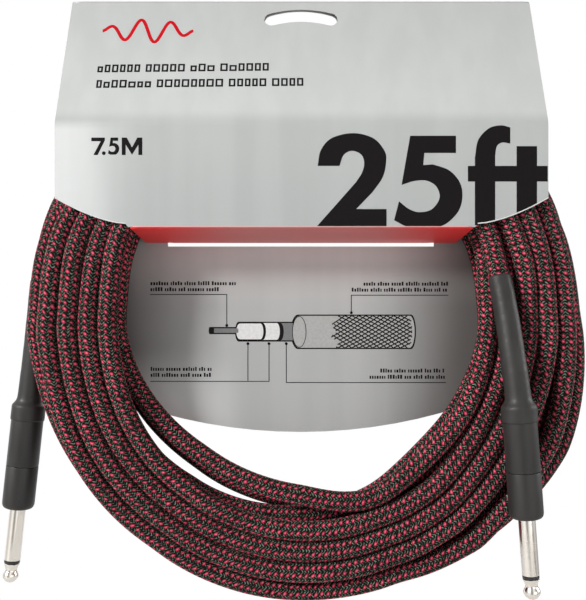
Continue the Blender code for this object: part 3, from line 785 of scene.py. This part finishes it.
# Profiles of (radius, station): station 0 is the shell's front, positive towards the cable.
FRONT_SHELL = (
    (5.9, 17.5), (6.2, 17.5), (6.34, 17.42), (6.4, 17.2), (6.4, 2.4), (6.32, 1.6), (6.05, 0.85), (5.6, 0.35),
    (5.0, 0.07), (4.4, 0.0), (3.5, 0.0), (3.42, 0.1), (3.42, 1.6), (5.9, 1.6),
)
REAR_SHELL = (
    (4.35, 42.9), (4.9, 42.86), (5.5, 42.6), (6.05, 42.15), (6.35, 41.5), (6.4, 40.9), (6.4, 17.95),
    (6.34, 17.74), (6.2, 17.65), (5.9, 17.65), (5.9, 41.5), (4.35, 41.6),
)
SLEEVE = (
    (1.95, 12.0), (4.6, 12.0), (4.6, 4.3), (5.55, 4.3), (5.55, 1.85), (3.3, 1.85), (3.175, 1.7),
    (3.175, -20.95), (3.13, -21.2), (2.95, -21.3), (1.95, -21.3),
)
INSULATOR = (
    (1.25, -21.45), (2.98, -21.45), (3.12, -21.55), (3.14, -21.7), (3.14, -22.2), (3.08, -22.4),
    (2.9, -22.45), (1.25, -22.45),
)
TIP = (
    (0.0, 15.2), (1.5, 15.2), (1.85, 14.95), (1.9, 14.6), (1.1, 14.6), (1.1, -22.6), (2.95, -22.6),
    (3.1, -22.75), (3.08, -22.95), (2.9, -23.3), (2.62, -23.9), (2.38, -24.6), (2.28, -25.0), (2.28, -25.4),
    (2.45, -25.9), (2.75, -26.4), (3.0, -26.9), (3.14, -27.4), (3.15, -27.8), (3.05, -28.3), (2.75, -28.9),
    (2.3, -29.5), (1.75, -30.0), (1.1, -30.35), (0.5, -30.48), (0.0, -30.5),
)
# Stations and radii of the boot before it follows the cable's curve.
BOOT = (
    (36.1, 6.5), (36.25, 6.66), (36.6, 6.73), (38.0, 6.74), (41.6, 6.72), (42.2, 6.6), (42.7, 6.25),
    (43.3, 5.75), (44.0, 5.3), (44.8, 5.02), (45.8, 4.9), (47.5, 4.84),
)
BOOT_TOP_RADIUS = 4.4
BOOT_LIP_RADIUS = 4.12
BOOT_RIPPLE = 0.03
BOOT_STEP = 0.4
BOOT_SIDES = 48
TURNED_STEPS = 64
PLUG_PIECES = (
    ("shell_front", FRONT_SHELL, "front_shell", "plug_shell"),
    ("shell_rear", REAR_SHELL, "rear_shell", "plug_shell"),
    ("jack_sleeve", SLEEVE, "sleeve_contact", "nickel_contact"),
    ("jack_ring", INSULATOR, "tip_insulator", "black_insulator"),
    ("jack_tip", TIP, "tip_contact", "nickel_contact"),
)


def plug_matrix(front, shoulder):
    """The plug's frame: origin at the shell's front, Z along the axis towards the cable."""
    axis = (Vector(shoulder) - Vector(front)).normalized()
    sideways = Vector((0, -1, 0)).cross(axis).normalized()
    facing = axis.cross(sideways)
    turn = Matrix((sideways, facing, axis)).transposed().to_4x4()
    return Matrix.Translation(Vector(front) * MM) @ turn


def turned_piece(name, profile, place):
    """A solid turned about the plug's axis from a profile that closes on itself or on the axis."""
    rows = [*profile, profile[0]] if profile[0][0] > 0 else profile
    turns = [math.tau * step / TURNED_STEPS for step in range(TURNED_STEPS)]
    points = [
        place @ (Vector((radius * math.cos(turn), radius * math.sin(turn), station)) * MM)
        for radius, station in rows
        for turn in turns
    ]
    faces = []
    for low in range(0, (len(rows) - 1) * TURNED_STEPS, TURNED_STEPS):
        high = low + TURNED_STEPS
        for step in range(TURNED_STEPS):
            following = (step + 1) % TURNED_STEPS
            faces.append((low + step, low + following, high + following, high + step))
    piece = mesh_piece(name, points, faces)
    welded(piece.data, drop_slivers=True)
    piece.data.shade_smooth()
    piece.data.set_sharp_from_angle(angle=math.radians(35))
    return piece


def boot_piece(name, ends):
    """The heat-shrink boot: a collar on the shell, a shoulder, then a skin that thins along the cable."""
    line = lead_route(ends, BOOT_STEP)
    top = lengths(line - ends[2][BOOT_TOP_INDEX]).argmin()
    travelled = np.arange(len(line)) * np.linalg.norm(line[1] - line[0]) + JACKET_STATIONS[0]
    first = np.searchsorted(travelled, BOOT[0][0])
    line, travelled = line[first:top], travelled[first:top]
    stations, radii = np.array(BOOT).T
    share = np.clip((travelled - stations[-1]) / (travelled[-1] - stations[-1]), 0, 1)
    radius = np.interp(travelled, stations, radii)
    radius += (BOOT_TOP_RADIUS - radii[-1]) * share
    ripple = np.sin(travelled * 0.9) * np.sin(travelled * 0.31)
    radius += BOOT_RIPPLE * ripple * np.clip(share * 6, 0, 1)
    radius[-2] = (BOOT_TOP_RADIUS + BOOT_LIP_RADIUS) / 2
    radius[-1] = BOOT_LIP_RADIUS
    return tube(name, line, radius, BOOT_SIDES)


def plug(side, ends):
    """One plug's visible pieces and its boot."""
    place = plug_matrix(*ends[:2])
    pieces = []
    for name, profile, node, slot in PLUG_PIECES:
        piece = turned_piece(f"{name}_{side}", profile, place)
        pieces.append(dress(piece, "hanging", LOOKS[slot], slot, f"{node}_{side}"))
    boot = boot_piece(f"boot_sleeve_{side}", ends)
    pieces.append(dress(boot, "hanging", LOOKS["heat_shrink"], "heat_shrink", f"boot_{side}"))
    return pieces


# ---------------------------------------------------------------- print on the card

INK_PROUD = 0.04
INK_SUNK = 0.05
GLYPH_STEP = 0.5
LOWEST_PRINT_Z = FRONT_BOTTOM_Z + 0.15

TWO = (
    ("curve", ((6.2, -68.6), (7.4, -62.6), (11.6, -57.9), (19.9, -56.0), (27.7, -58.0), (32.0, -63.0),
               (32.5, -67.3), (31.2, -73.0), (27.3, -78.7))),
    ("line", ((21.0, -85.2), (32.7, -85.2), (32.7, -91.95), (5.8, -91.95))),
    ("curve", ((20.9, -74.9), (23.2, -71.3), (24.1, -67.4), (22.9, -64.2), (19.4, -62.8), (16.2, -64.4),
               (14.6, -68.6))),
)
FIVE = (
    ("line", ((41.8, -57.0), (59.4, -57.0), (59.4, -63.6), (47.25, -63.6), (46.8, -68.3))),
    ("curve", ((50.5, -68.0), (56.6, -70.2), (60.7, -74.6), (61.9, -79.9), (60.6, -85.6), (56.4, -90.3),
               (52.0, -92.2), (46.0, -92.8), (40.4, -91.9), (35.6, -89.5))),
    ("curve", ((37.5, -82.2), (41.2, -85.1), (45.3, -86.4), (50.2, -85.2), (53.1, -80.9), (51.9, -76.6),
               (48.2, -74.3), (43.4, -74.4), (38.5, -75.9))),
)
FIVE_CORNER = (35.6, -57.0)
FOOT = (
    ("line", ((66.7, -91.5), (66.7, -74.6), (64.0, -74.6), (64.0, -68.6), (66.7, -68.6))),
    ("curve", ((66.7, -65.4), (68.0, -58.6), (72.0, -54.2), (76.6, -53.0), (80.3, -53.8))),
    ("curve", ((80.3, -60.0), (77.2, -59.6), (75.1, -61.1), (74.5, -64.6))),
    ("line", ((74.5, -68.6), (82.75, -68.6), (82.75, -61.0), (90.6, -61.0), (90.6, -68.6), (94.7, -68.6),
              (94.7, -74.6), (90.6, -74.6), (90.6, -82.9), (86.7, -85.0), (82.75, -86.7), (82.75, -74.6),
              (74.5, -74.6), (74.5, -89.5), (70.6, -90.6))),
)
SEVEN = (
    ("line", ((-80.9, -57.7), (-75.7, -57.7), (-75.7, -58.8), (-78.5, -64.4), (-80.1, -64.4), (-77.3, -59.1),
              (-80.9, -59.1))),
)
METRE = (
    ("line", ((-69.2, -64.4), (-69.2, -57.7), (-67.3, -57.7), (-65.25, -61.5), (-63.2, -57.7), (-61.3, -57.7),
              (-61.3, -64.4), (-62.8, -64.4), (-62.8, -60.4), (-65.25, -64.3), (-67.7, -60.4),
              (-67.7, -64.4))),
)
SMALL_FIVE_PLACE = (-74.5, -57.7)
SMALL_FIVE_SHARE = (4.3 / 26.3, 6.7 / 35.8)
POINT_PLACE = (-76.1, -63.7)
POINT_RADIUS = 0.72


def outline(runs):
    """A closed loop from straight and curved runs."""
    loop = []
    for kind, points in runs:
        loop += [tuple(point) for point in (smooth_route(points, GLYPH_STEP) if kind == "curve" else points)]
    return [(across, max(up, LOWEST_PRINT_Z)) for across, up in loop]


def disc(centre, across, up=None, steps=24):
    """A circle, or an oval where its half height is given too."""
    up = up or across
    turns = [math.tau * step / steps for step in range(steps)]
    return [(centre[0] + across * math.cos(turn), centre[1] + up * math.sin(turn)) for turn in turns]


def bar(left, right, top, bottom):
    """A rectangle."""
    return [(left, top), (right, top), (right, bottom), (left, bottom)]


def stroke(points, width):
    """A line of one width as a closed loop."""
    points = np.array(points, float)
    way = directions(points)
    side = np.stack([-way[:, 1], way[:, 0]], 1) * width / 2
    return [tuple(point) for point in (*(points + side), *(points - side)[::-1])]


def lower_face():
    """Where (across, height) lies on the upright part of the front panel."""
    return Matrix.Translation((0, -CARD_DEPTH * MM, 0)) @ Matrix.Rotation(math.pi / 2, 4, "X"), 1.0, 0.0


def sloping_face():
    """Where (across, height) lies on the sloping part of the front panel."""
    top = Vector((0, -CARD_GAP - CARD_THICK, FOLD_Z - CARD_GAP))
    down = Vector((0, -CARD_DEPTH, CREASE_Z)) - top
    lean = math.atan2(-down.y, -down.z)
    place = Matrix.Translation(top * MM) @ Matrix.Rotation(math.pi / 2 - lean, 4, "X")
    return place, 1 / math.cos(lean), top.z


def back_face():
    """Where (across, height) lies on the front of the back panel."""
    return Matrix.Rotation(math.pi / 2, 4, "X"), 1.0, 0.0


def skin(name, loops, face, proud):
    """A mesh of the area between these loops on a face of the card, as thick as ink."""
    place, stretch, zero = face
    curve = bpy.data.curves.new(name, "CURVE")
    curve.dimensions = "2D"
    curve.fill_mode = "BOTH"
    curve.extrude = (proud + INK_SUNK) / 2 * MM
    for loop in loops:
        spline = curve.splines.new("POLY")
        spline.points.add(len(loop) - 1)
        spline.use_cyclic_u = True
        for point, (across, height) in zip(spline.points, loop):
            point.co = (across * MM, (height - zero) * stretch * MM, 0, 1)
    holder = placed(name + "_curve", curve)
    bpy.context.view_layer.update()
    mesh = bpy.data.meshes.new_from_object(holder.evaluated_get(bpy.context.evaluated_depsgraph_get()))
    bpy.data.objects.remove(holder)
    mesh.transform(place @ Matrix.Translation((0, 0, (proud - INK_SUNK) / 2 * MM)))
    return welded(mesh)


def printed(name, loops, face, body, look, proud=INK_PROUD, slot="silver_card", apart=False):
    """Loops of (across, height) as ink on a face of the card.

    A loop inside another is a hole in it, unless each loop is printed apart, so that they may cross.
    """
    together = bmesh.new()
    for group in [[loop] for loop in loops] if apart else [loops]:
        mesh = skin(name, group, face, proud)
        together.from_mesh(mesh)
        bpy.data.meshes.remove(mesh)
    mesh = bpy.data.meshes.new(name)
    together.to_mesh(mesh)
    together.free()
    mesh.shade_flat()
    dress(placed(name, mesh), body, LOOKS[look], slot)


# Blank lines of text. "words" is how long a word may be and "tall" the share of tall letters. The others are
# shares of a letter's height: its width, the gap after it and after a word, how much lower a low letter is,
# and the room that one more letter needs.
TITLE = dict(words=(4, 9), tall=0.7, widths=(0.6, 0.85), gap=0.2, space=0.45, low=0.22, room=0.6)
CAPTION = dict(words=(4, 8), tall=0.35, widths=(0.3, 0.5), gap=0.22, space=0.4, low=0.25, room=0.4)
SHORTEST_WORD = 3
TITLE_STROKE = 0.72
TITLE_RISE = 0.012


def letter_places(left, right, height, seed, style):
    """Where each letter of a blank line starts, how wide it is, and how much lower than a tall one."""
    random = np.random.RandomState(seed)
    across = left
    letters = random.randint(*style["words"])
    while across < right - height * style["room"]:
        width = height * random.uniform(*style["widths"])
        low = 0 if random.rand() < style["tall"] else height * style["low"]
        yield across, width, low
        across += width + height * style["gap"]
        letters -= 1
        if letters == 0:
            across += height * style["space"]
            letters = random.randint(SHORTEST_WORD, style["words"][1])


def blank_title(left, right, top, height, seed):
    """A line of empty letter boxes, which stands for text without saying anything."""
    loops = []
    for across, width, low in letter_places(left, right, height, seed, TITLE):
        up = top + TITLE_RISE * (across - left)
        for inset in (0, TITLE_STROKE):
            loops.append(bar(across + inset, across + width - inset, up - low - inset, up - height + inset))
    return loops


def blank_caption(left, right, top, height, seed):
    """The same for small print, with solid letters."""
    return [
        bar(across, min(across + width, right), top - low, top - height)
        for across, width, low in letter_places(left, right, height, seed, CAPTION)
    ]


WAVE_LEFT, WAVE_RIGHT, WAVE_HEIGHT_Z = -81.0, -44.0, -10.4
WAVE_REACH = 5.4
WAVE_CYCLES = 3.0
WAVE_SWELL = 0.7
WAVE_STROKE = 1.35


def wave_mark():
    """A plain sound wave that swells and fades."""
    share = np.linspace(0, 1, 160)
    across = WAVE_LEFT + (WAVE_RIGHT - WAVE_LEFT) * share
    swell = WAVE_REACH * np.sin(share * math.pi) ** WAVE_SWELL
    height = WAVE_HEIGHT_Z + swell * np.sin(share * WAVE_CYCLES * math.tau)
    return [stroke(np.stack([across, height], 1), WAVE_STROKE)]


CORNER_TOP_Z = -81.0
CORNER_FOOT = (67.8, -90.9)
CORNER_BEND = 1.6
CUT_EDGE_WIDTH = 0.42
CUT_EDGE_PROUD = INK_PROUD + 0.02


def corner_edge(side):
    """The die-cut edge along a lower corner of the front panel."""
    share = np.linspace(0, 1, 9)
    across = CARD_HALF_WIDTH + (CORNER_FOOT[0] - CARD_HALF_WIDTH) * share
    up = CORNER_TOP_Z + (CORNER_FOOT[1] - CORNER_TOP_Z) * (1 - (1 - share) ** CORNER_BEND)
    line = np.stack([side * across, up + CUT_EDGE_WIDTH / 2], 1)
    return stroke(line, CUT_EDGE_WIDTH)


def small_five():
    """The large five's outline, made small."""
    points = (np.array(outline(FIVE)) - FIVE_CORNER) * SMALL_FIVE_SHARE + SMALL_FIVE_PLACE
    return [tuple(point) for point in points]


TITLE_LINES = ((-81.1, -10.2, -26.3, 3.5, 3), (-80.8, 1.2, -33.3, 3.5, 8))


def front_print():
    """All the print on the front panel."""
    lower, slope = lower_face(), sloping_face()
    edges = [corner_edge(side) for side in (-1, 1)]
    feet = [outline(TWO), outline(FIVE), outline(FOOT)]
    metres = [outline(SEVEN), disc(POINT_PLACE, POINT_RADIUS), small_five(), outline(METRE)]
    title = [loop for line in TITLE_LINES for loop in blank_title(*line)]
    printed("cut_edge", edges, lower, "front_card", "white_ink", CUT_EDGE_PROUD)
    printed("print_feet", feet, lower, "front_card", "black_ink")
    printed("print_metres", metres, lower, "front_card", "black_ink")
    printed("print_title", title, slope, "front_card", "black_ink")
    printed("print_mark", wave_mark(), slope, "front_card", "red_ink", slot="red_card")


# The drawn cable: left, right, top and bottom of each part.
ROD = (-37.4, -26.3, -132.0, -133.9)
INNER_SLEEVE = (-25.4, -16.4, -130.0, -136.6)
OUTER_SLEEVE = (-16.4, -9.0, -129.8, -136.8)
SHIELD = (-9.0, -3.4, -129.8, -137.0)
SLEEVES = (-25.4, 0.5, -129.8, -137.0)
JACKET = (-0.7, 45.4, -126.8, -140.1)
MOUTH_BULGE, END_BULGE = 3.0, 2.0
SLEEVE_BULGE = 1.3
ROD_TIP = 1.2
OUTLINE_WIDTH = 0.55
MOUTH_SIZES = ((3.0, 6.6), (2.7, 6.3))
UNDER_INK, OVER_INK, TOP_INK = 0.03, 0.05, 0.07
BRAID_LEFT = 15.4
LEADER_DOT = 0.62
DOT_STEPS = 12
LEADERS = (
    ((-62.7, -117.9), (-30.9, -117.9), (-30.9, -130.8)),
    ((61.3, -118.2), (21.0, -118.2), (21.0, -125.5)),
    ((-62.6, -154.1), (-13.3, -154.1), (-13.3, -138.4)),
    ((-22.1, -154.1), (-22.1, -138.4)),
    ((60.3, -154.6), (-6.1, -154.6), (-6.1, -138.4)),
)
CAPTIONS = (
    (-62.7, -27.1, -113.2), (-62.7, -33.0, -115.7), (26.1, 61.3, -113.4), (21.2, 61.3, -115.9),
    (-62.6, -36.8, -148.9), (-62.6, -37.4, -151.4), (33.1, 60.5, -149.6), (28.6, 60.5, -152.2),
)
LEADER_WIDTH = 0.32
CAPTION_HEIGHT = 1.65
FIRST_CAPTION_SEED = 20


def rounded_bar(left, right, top, bottom, left_bulge, right_bulge, grow=0.0):
    """A bar whose ends bulge out, or in where the bulge is negative."""
    middle, half = (top + bottom) / 2, (top - bottom) / 2 + grow
    turns = np.radians(np.linspace(90, -90, 13))
    ends = ((right + grow, right_bulge, turns), (left - grow, -left_bulge, turns[::-1]))
    return [
        (end + bulge * math.cos(turn), middle + half * math.sin(turn))
        for end, bulge, way in ends
        for turn in way
    ]


HATCH_SPACING = 2.9
HATCH_LEAN = 23.0
HATCH_STEPS = 30
HATCH_WIDTH = 0.5
HATCH_THREADS = range(-4, 16)
HATCH_BULGE = 1.2
RAGGED_TEETH, RAGGED_DEPTH, RAGGED_BOW = 17, 1.1, 2.2


def hatch():
    """Crossing threads on the drawn jacket, from a ragged edge to its right end."""
    _, right, top, bottom = JACKET
    loops = []
    for lean in (HATCH_LEAN, -HATCH_LEAN):
        for number in HATCH_THREADS:
            points = []
            for step in range(HATCH_STEPS + 1):
                share = step / HATCH_STEPS
                swell = math.sin(share * math.pi)
                bulge = HATCH_BULGE * swell
                across = BRAID_LEFT + number * HATCH_SPACING + lean * (share - 0.5) + bulge
                ragged = BRAID_LEFT + RAGGED_DEPTH * math.sin(share * RAGGED_TEETH) - RAGGED_BOW * swell
                if ragged < across < right + bulge * 1.4 - 0.2:
                    points.append((across, top + (bottom - top) * share))
            if len(points) > 1:
                loops.append(stroke(points, HATCH_WIDTH))
    return loops


def segment(start, end):
    """A straight upright or level line as a loop."""
    half = LEADER_WIDTH / 2
    left, right = sorted((start[0], end[0]))
    low, high = sorted((start[1], end[1]))
    return bar(left - half, right + half, high + half, low - half)


def diagram():
    """The drawing on the back panel: a cable with its layers laid bare, its leaders and their captions."""
    face = back_face()
    line = OUTLINE_WIDTH
    jacket = (*JACKET, MOUTH_BULGE, END_BULGE)
    black = [(*ROD, 0.5, 0.5), jacket, (*SLEEVES, 1.5, 0)]
    black = [rounded_bar(*part, line) for part in black]
    inner = rounded_bar(INNER_SLEEVE[0], INNER_SLEEVE[1] - line, *INNER_SLEEVE[2:], 1.5, SLEEVE_BULGE)
    left, right, *sides = OUTER_SLEEVE
    outer = rounded_bar(left + line, right - 2 * line, *sides, -SLEEVE_BULGE, SLEEVE_BULGE)
    rod = rounded_bar(ROD[0] + ROD_TIP, *ROD[1:], 0, 0.3)
    shield = rounded_bar(SHIELD[0] + line, *SHIELD[1:], -SLEEVE_BULGE, 0)
    mouth = [disc((JACKET[0], (JACKET[2] + JACKET[3]) / 2), *size) for size in MOUTH_SIZES]
    lines = [segment(*ends) for points in LEADERS for ends in zip(points, points[1:])]
    lines += [disc(points[-1], LEADER_DOT, steps=DOT_STEPS) for points in LEADERS]
    text = []
    for seed, (left, right, top) in enumerate(CAPTIONS, FIRST_CAPTION_SEED):
        text += blank_caption(left, right, top + CAPTION_HEIGHT / 2, CAPTION_HEIGHT, seed)
    for name, loops, look, proud, apart in (
        ("diagram_outlines", black, "black_ink", UNDER_INK, True),
        ("diagram_insulation", [inner, outer], "white_ink", OVER_INK, False),
        ("diagram_shield", [rod, shield], "grey_ink", OVER_INK, False),
        ("diagram_jacket", [rounded_bar(*jacket)], "pale_ink", OVER_INK, False),
        ("diagram_mouth", mouth, "black_ink", TOP_INK, False),
        ("diagram_hatch", hatch(), "black_ink", TOP_INK, True),
        ("leaders", lines, "black_ink", OVER_INK, True),
        ("diagram_captions", text, "black_ink", INK_PROUD, False),
    ):
        printed(name, loops, face, "hanging", look, proud, apart=apart)


# ---------------------------------------------------------------- folds

FOLD_RADIUS = 0.62
FLAP_FOLD_RADIUS = 0.5
FLAP_FOLD_PLACE = (-CARD_DEPTH + 0.35, FRONT_BOTTOM_Z)
FLAP_FOLD_HALF = FLAP_HALF_WIDTH - 0.2
FOLD_SIDES = 16
FOLD_POINTS = 60
FOLD_TAPER = 0.7


def fold_bead(name, depth, height, half_width, radius, body, card, slot):
    """The rounded edge of card along a fold, on the fold's own axis."""
    line = np.zeros((FOLD_POINTS, 3)) + (0, depth, height)
    line[:, 0] = np.linspace(-half_width, half_width, FOLD_POINTS)
    radii = np.full(FOLD_POINTS, radius)
    radii[[0, -1]] *= FOLD_TAPER
    dress(tube(name, line, radii, FOLD_SIDES), body, CARD_LOOKS[card], slot)


# ---------------------------------------------------------------- camera, light and floor

CAMERA_PLACE_M = (-0.0033, -0.339, -0.1202)
LENS = 48.8
FLOOR_Z_M = -0.6
FLOOR_HALF_M = 0.9
LIGHT_AIM_M = (0, 0, -0.12)
# Each light's name, place and size in metres, and power in watts.
LIGHTS = (
    ("key", (-1.2, -0.85, 0.55), 0.4, 28.5),
    ("fill", (0.8, -1.0, -0.1), 0.9, 3),
    ("rear", (0.1, 1.2, 0.5), 0.9, 9),
    ("side", (1.3, 0.15, 0.25), 0.7, 9),
)
REFLECTION_BANDS = 6.5
SOFT_LIGHT = 0.2


def camera():
    data = bpy.data.cameras.new("camera")
    data.lens = LENS
    data.sensor_width = 36
    data.clip_start = 0.01
    data.dof.use_dof = False
    view = placed("camera", data)
    view.location = CAMERA_PLACE_M
    view.rotation_euler = (math.pi / 2, 0, 0)
    bpy.context.scene.camera = view


def area_light(name, place, size, power):
    data = bpy.data.lights.new(name, "AREA")
    data.shape = "DISK"
    data.size = size
    data.energy = power
    lamp = placed(name, data)
    lamp.location = place
    lamp.rotation_euler = (Vector(LIGHT_AIM_M) - Vector(place)).to_track_quat("-Z", "Y").to_euler()


def white_room():
    """A white background, upright grey bands that only reflections see, and a soft light from all round."""
    world = bpy.data.worlds.new("room")
    world.use_nodes = True
    nodes = Nodes(world.node_tree)
    across = nodes.split(nodes.coordinate("Generated"))[0]
    wave = nodes.math("SINE", nodes.times(across, REFLECTION_BANDS))
    bands = nodes.ramp(wave, -0.7, 0.9, 0.36, 1.2, ease="LINEAR")
    soft, banded, white = (
        nodes.node("Background", {"Color": (1, 1, 1), "Strength": strength}).outputs[0]
        for strength in (SOFT_LIGHT, bands, 1.0)
    )
    rays = nodes.node("LightPath").outputs
    reflected = nodes.node("MixShader", {0: rays["Is Glossy Ray"], 1: soft, 2: banded}).outputs[0]
    seen = nodes.node("MixShader", {0: rays["Is Camera Ray"], 1: reflected, 2: white}).outputs[0]
    nodes.set(world.node_tree.nodes["World Output"], "Surface", seen)
    bpy.context.scene.world = world


def stage():
    """The camera, the lights, the white room and a floor below."""
    for old in [thing for thing in bpy.data.objects if thing.name in ("Cube", "Light", "Camera")]:
        bpy.data.objects.remove(old)
    camera()
    white_room()
    for light in LIGHTS:
        area_light(*light)
    bpy.context.scene.view_settings.view_transform = "Standard"
    half = FLOOR_HALF_M
    corners = [(x, y, FLOOR_Z_M) for x, y in ((-half, -half), (half, -half), (half, half), (-half, half))]
    floor = mesh_piece("floor", corners, [(0, 1, 2, 3)])
    floor.data.materials.append(plain_material("floor_paint", (0.85, 0.85, 0.85), 0.9))
    floor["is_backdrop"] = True


# ---------------------------------------------------------------- the model


CABLE_NODES = ("cable_coil", "cable_coil_top", "cable_lead_a", "cable_lead_b")


def cable(pieces_b):
    """The whole cord. The pieces of plug b, pieces_b, are not used."""
    line = cord_line()
    cord = tube("cord", line, CABLE_DIAMETER / 2, TUBE_SIDES)
    dress(cord, "hanging", LOOKS["braided_jacket"], "braided_jacket", *CABLE_NODES)
    [value * MM for value in PLUG_A[1]]


LOOKS = {
    "braided_jacket": braid_material(),
    "heat_shrink": shrink_material(),
    "plug_shell": shell_material(),
    "nickel_contact": nickel_material(),
    "black_insulator": plain_material("insulator_black", (0.02, 0.02, 0.02), 0.35),
}
INKS = {
    "black_ink": ((0.007, 0.0055, 0.006), 0.75),
    "red_ink": ((0.58, 0.004, 0.012),),
    "white_ink": ((0.72, 0.72, 0.71),),
    "grey_ink": ((0.2, 0.2, 0.2),),
    "pale_ink": ((0.42, 0.42, 0.41),),
}
LOOKS.update({name: ink(name, *values) for name, values in INKS.items()})
CARD_LOOKS = {
    "card_front": card_material("card_front_silver", front_painted_shading),
    "card_back": card_material("card_back_silver", back_painted_shading),
    "tuck_flap": flap_material(),
}
# The pieces inside each plug, and their materials' names and values.
INNER_LOOKS = {
    "core_insulator": ("core_black", (0.02, 0.02, 0.02), 0.4),
    "rear_washer": ("fibre", (0.3, 0.1, 0.05), 0.7),
    "tip_lug": ("tip_lug_brass", (0.6, 0.45, 0.18), 0.35, 1.0),
    "ground_lug": ("ground_lug_brass", (0.6, 0.45, 0.18), 0.35, 1.0),
    "liner": ("liner_clear", (0.75, 0.75, 0.72), 0.4),
    "core_insulation": ("core_white", (0.85, 0.84, 0.8), 0.5),
    "core_conductor": ("conductor_copper", (0.65, 0.3, 0.15), 0.35, 1.0),
    "shield_pigtail": ("shield_copper", (0.65, 0.3, 0.15), 0.4, 1.0, 2500.0),
}

stage()
plug("a", PLUG_A)
cable(plug("b", PLUG_B))
for name, look in CARD_LOOKS.items():
    wear(name, look)
for name, look in INNER_LOOKS.items():
    material = plain_material(*look)
    for side in "ab":
        wear(f"{name}_{side}", material)
front_print()
diagram()
for bead in (
    ("top_fold", 0, FOLD_Z, CARD_HALF_WIDTH, FOLD_RADIUS, "hanging", "card_front", "silver_card"),
    ("flap_fold", *FLAP_FOLD_PLACE, FLAP_FOLD_HALF, FLAP_FOLD_RADIUS, "front_card", "tuck_flap", "red_card"),
):
    fold_bead(*bead)

[[list(corner) for corner in box] for box in (CAD_BOX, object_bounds())]
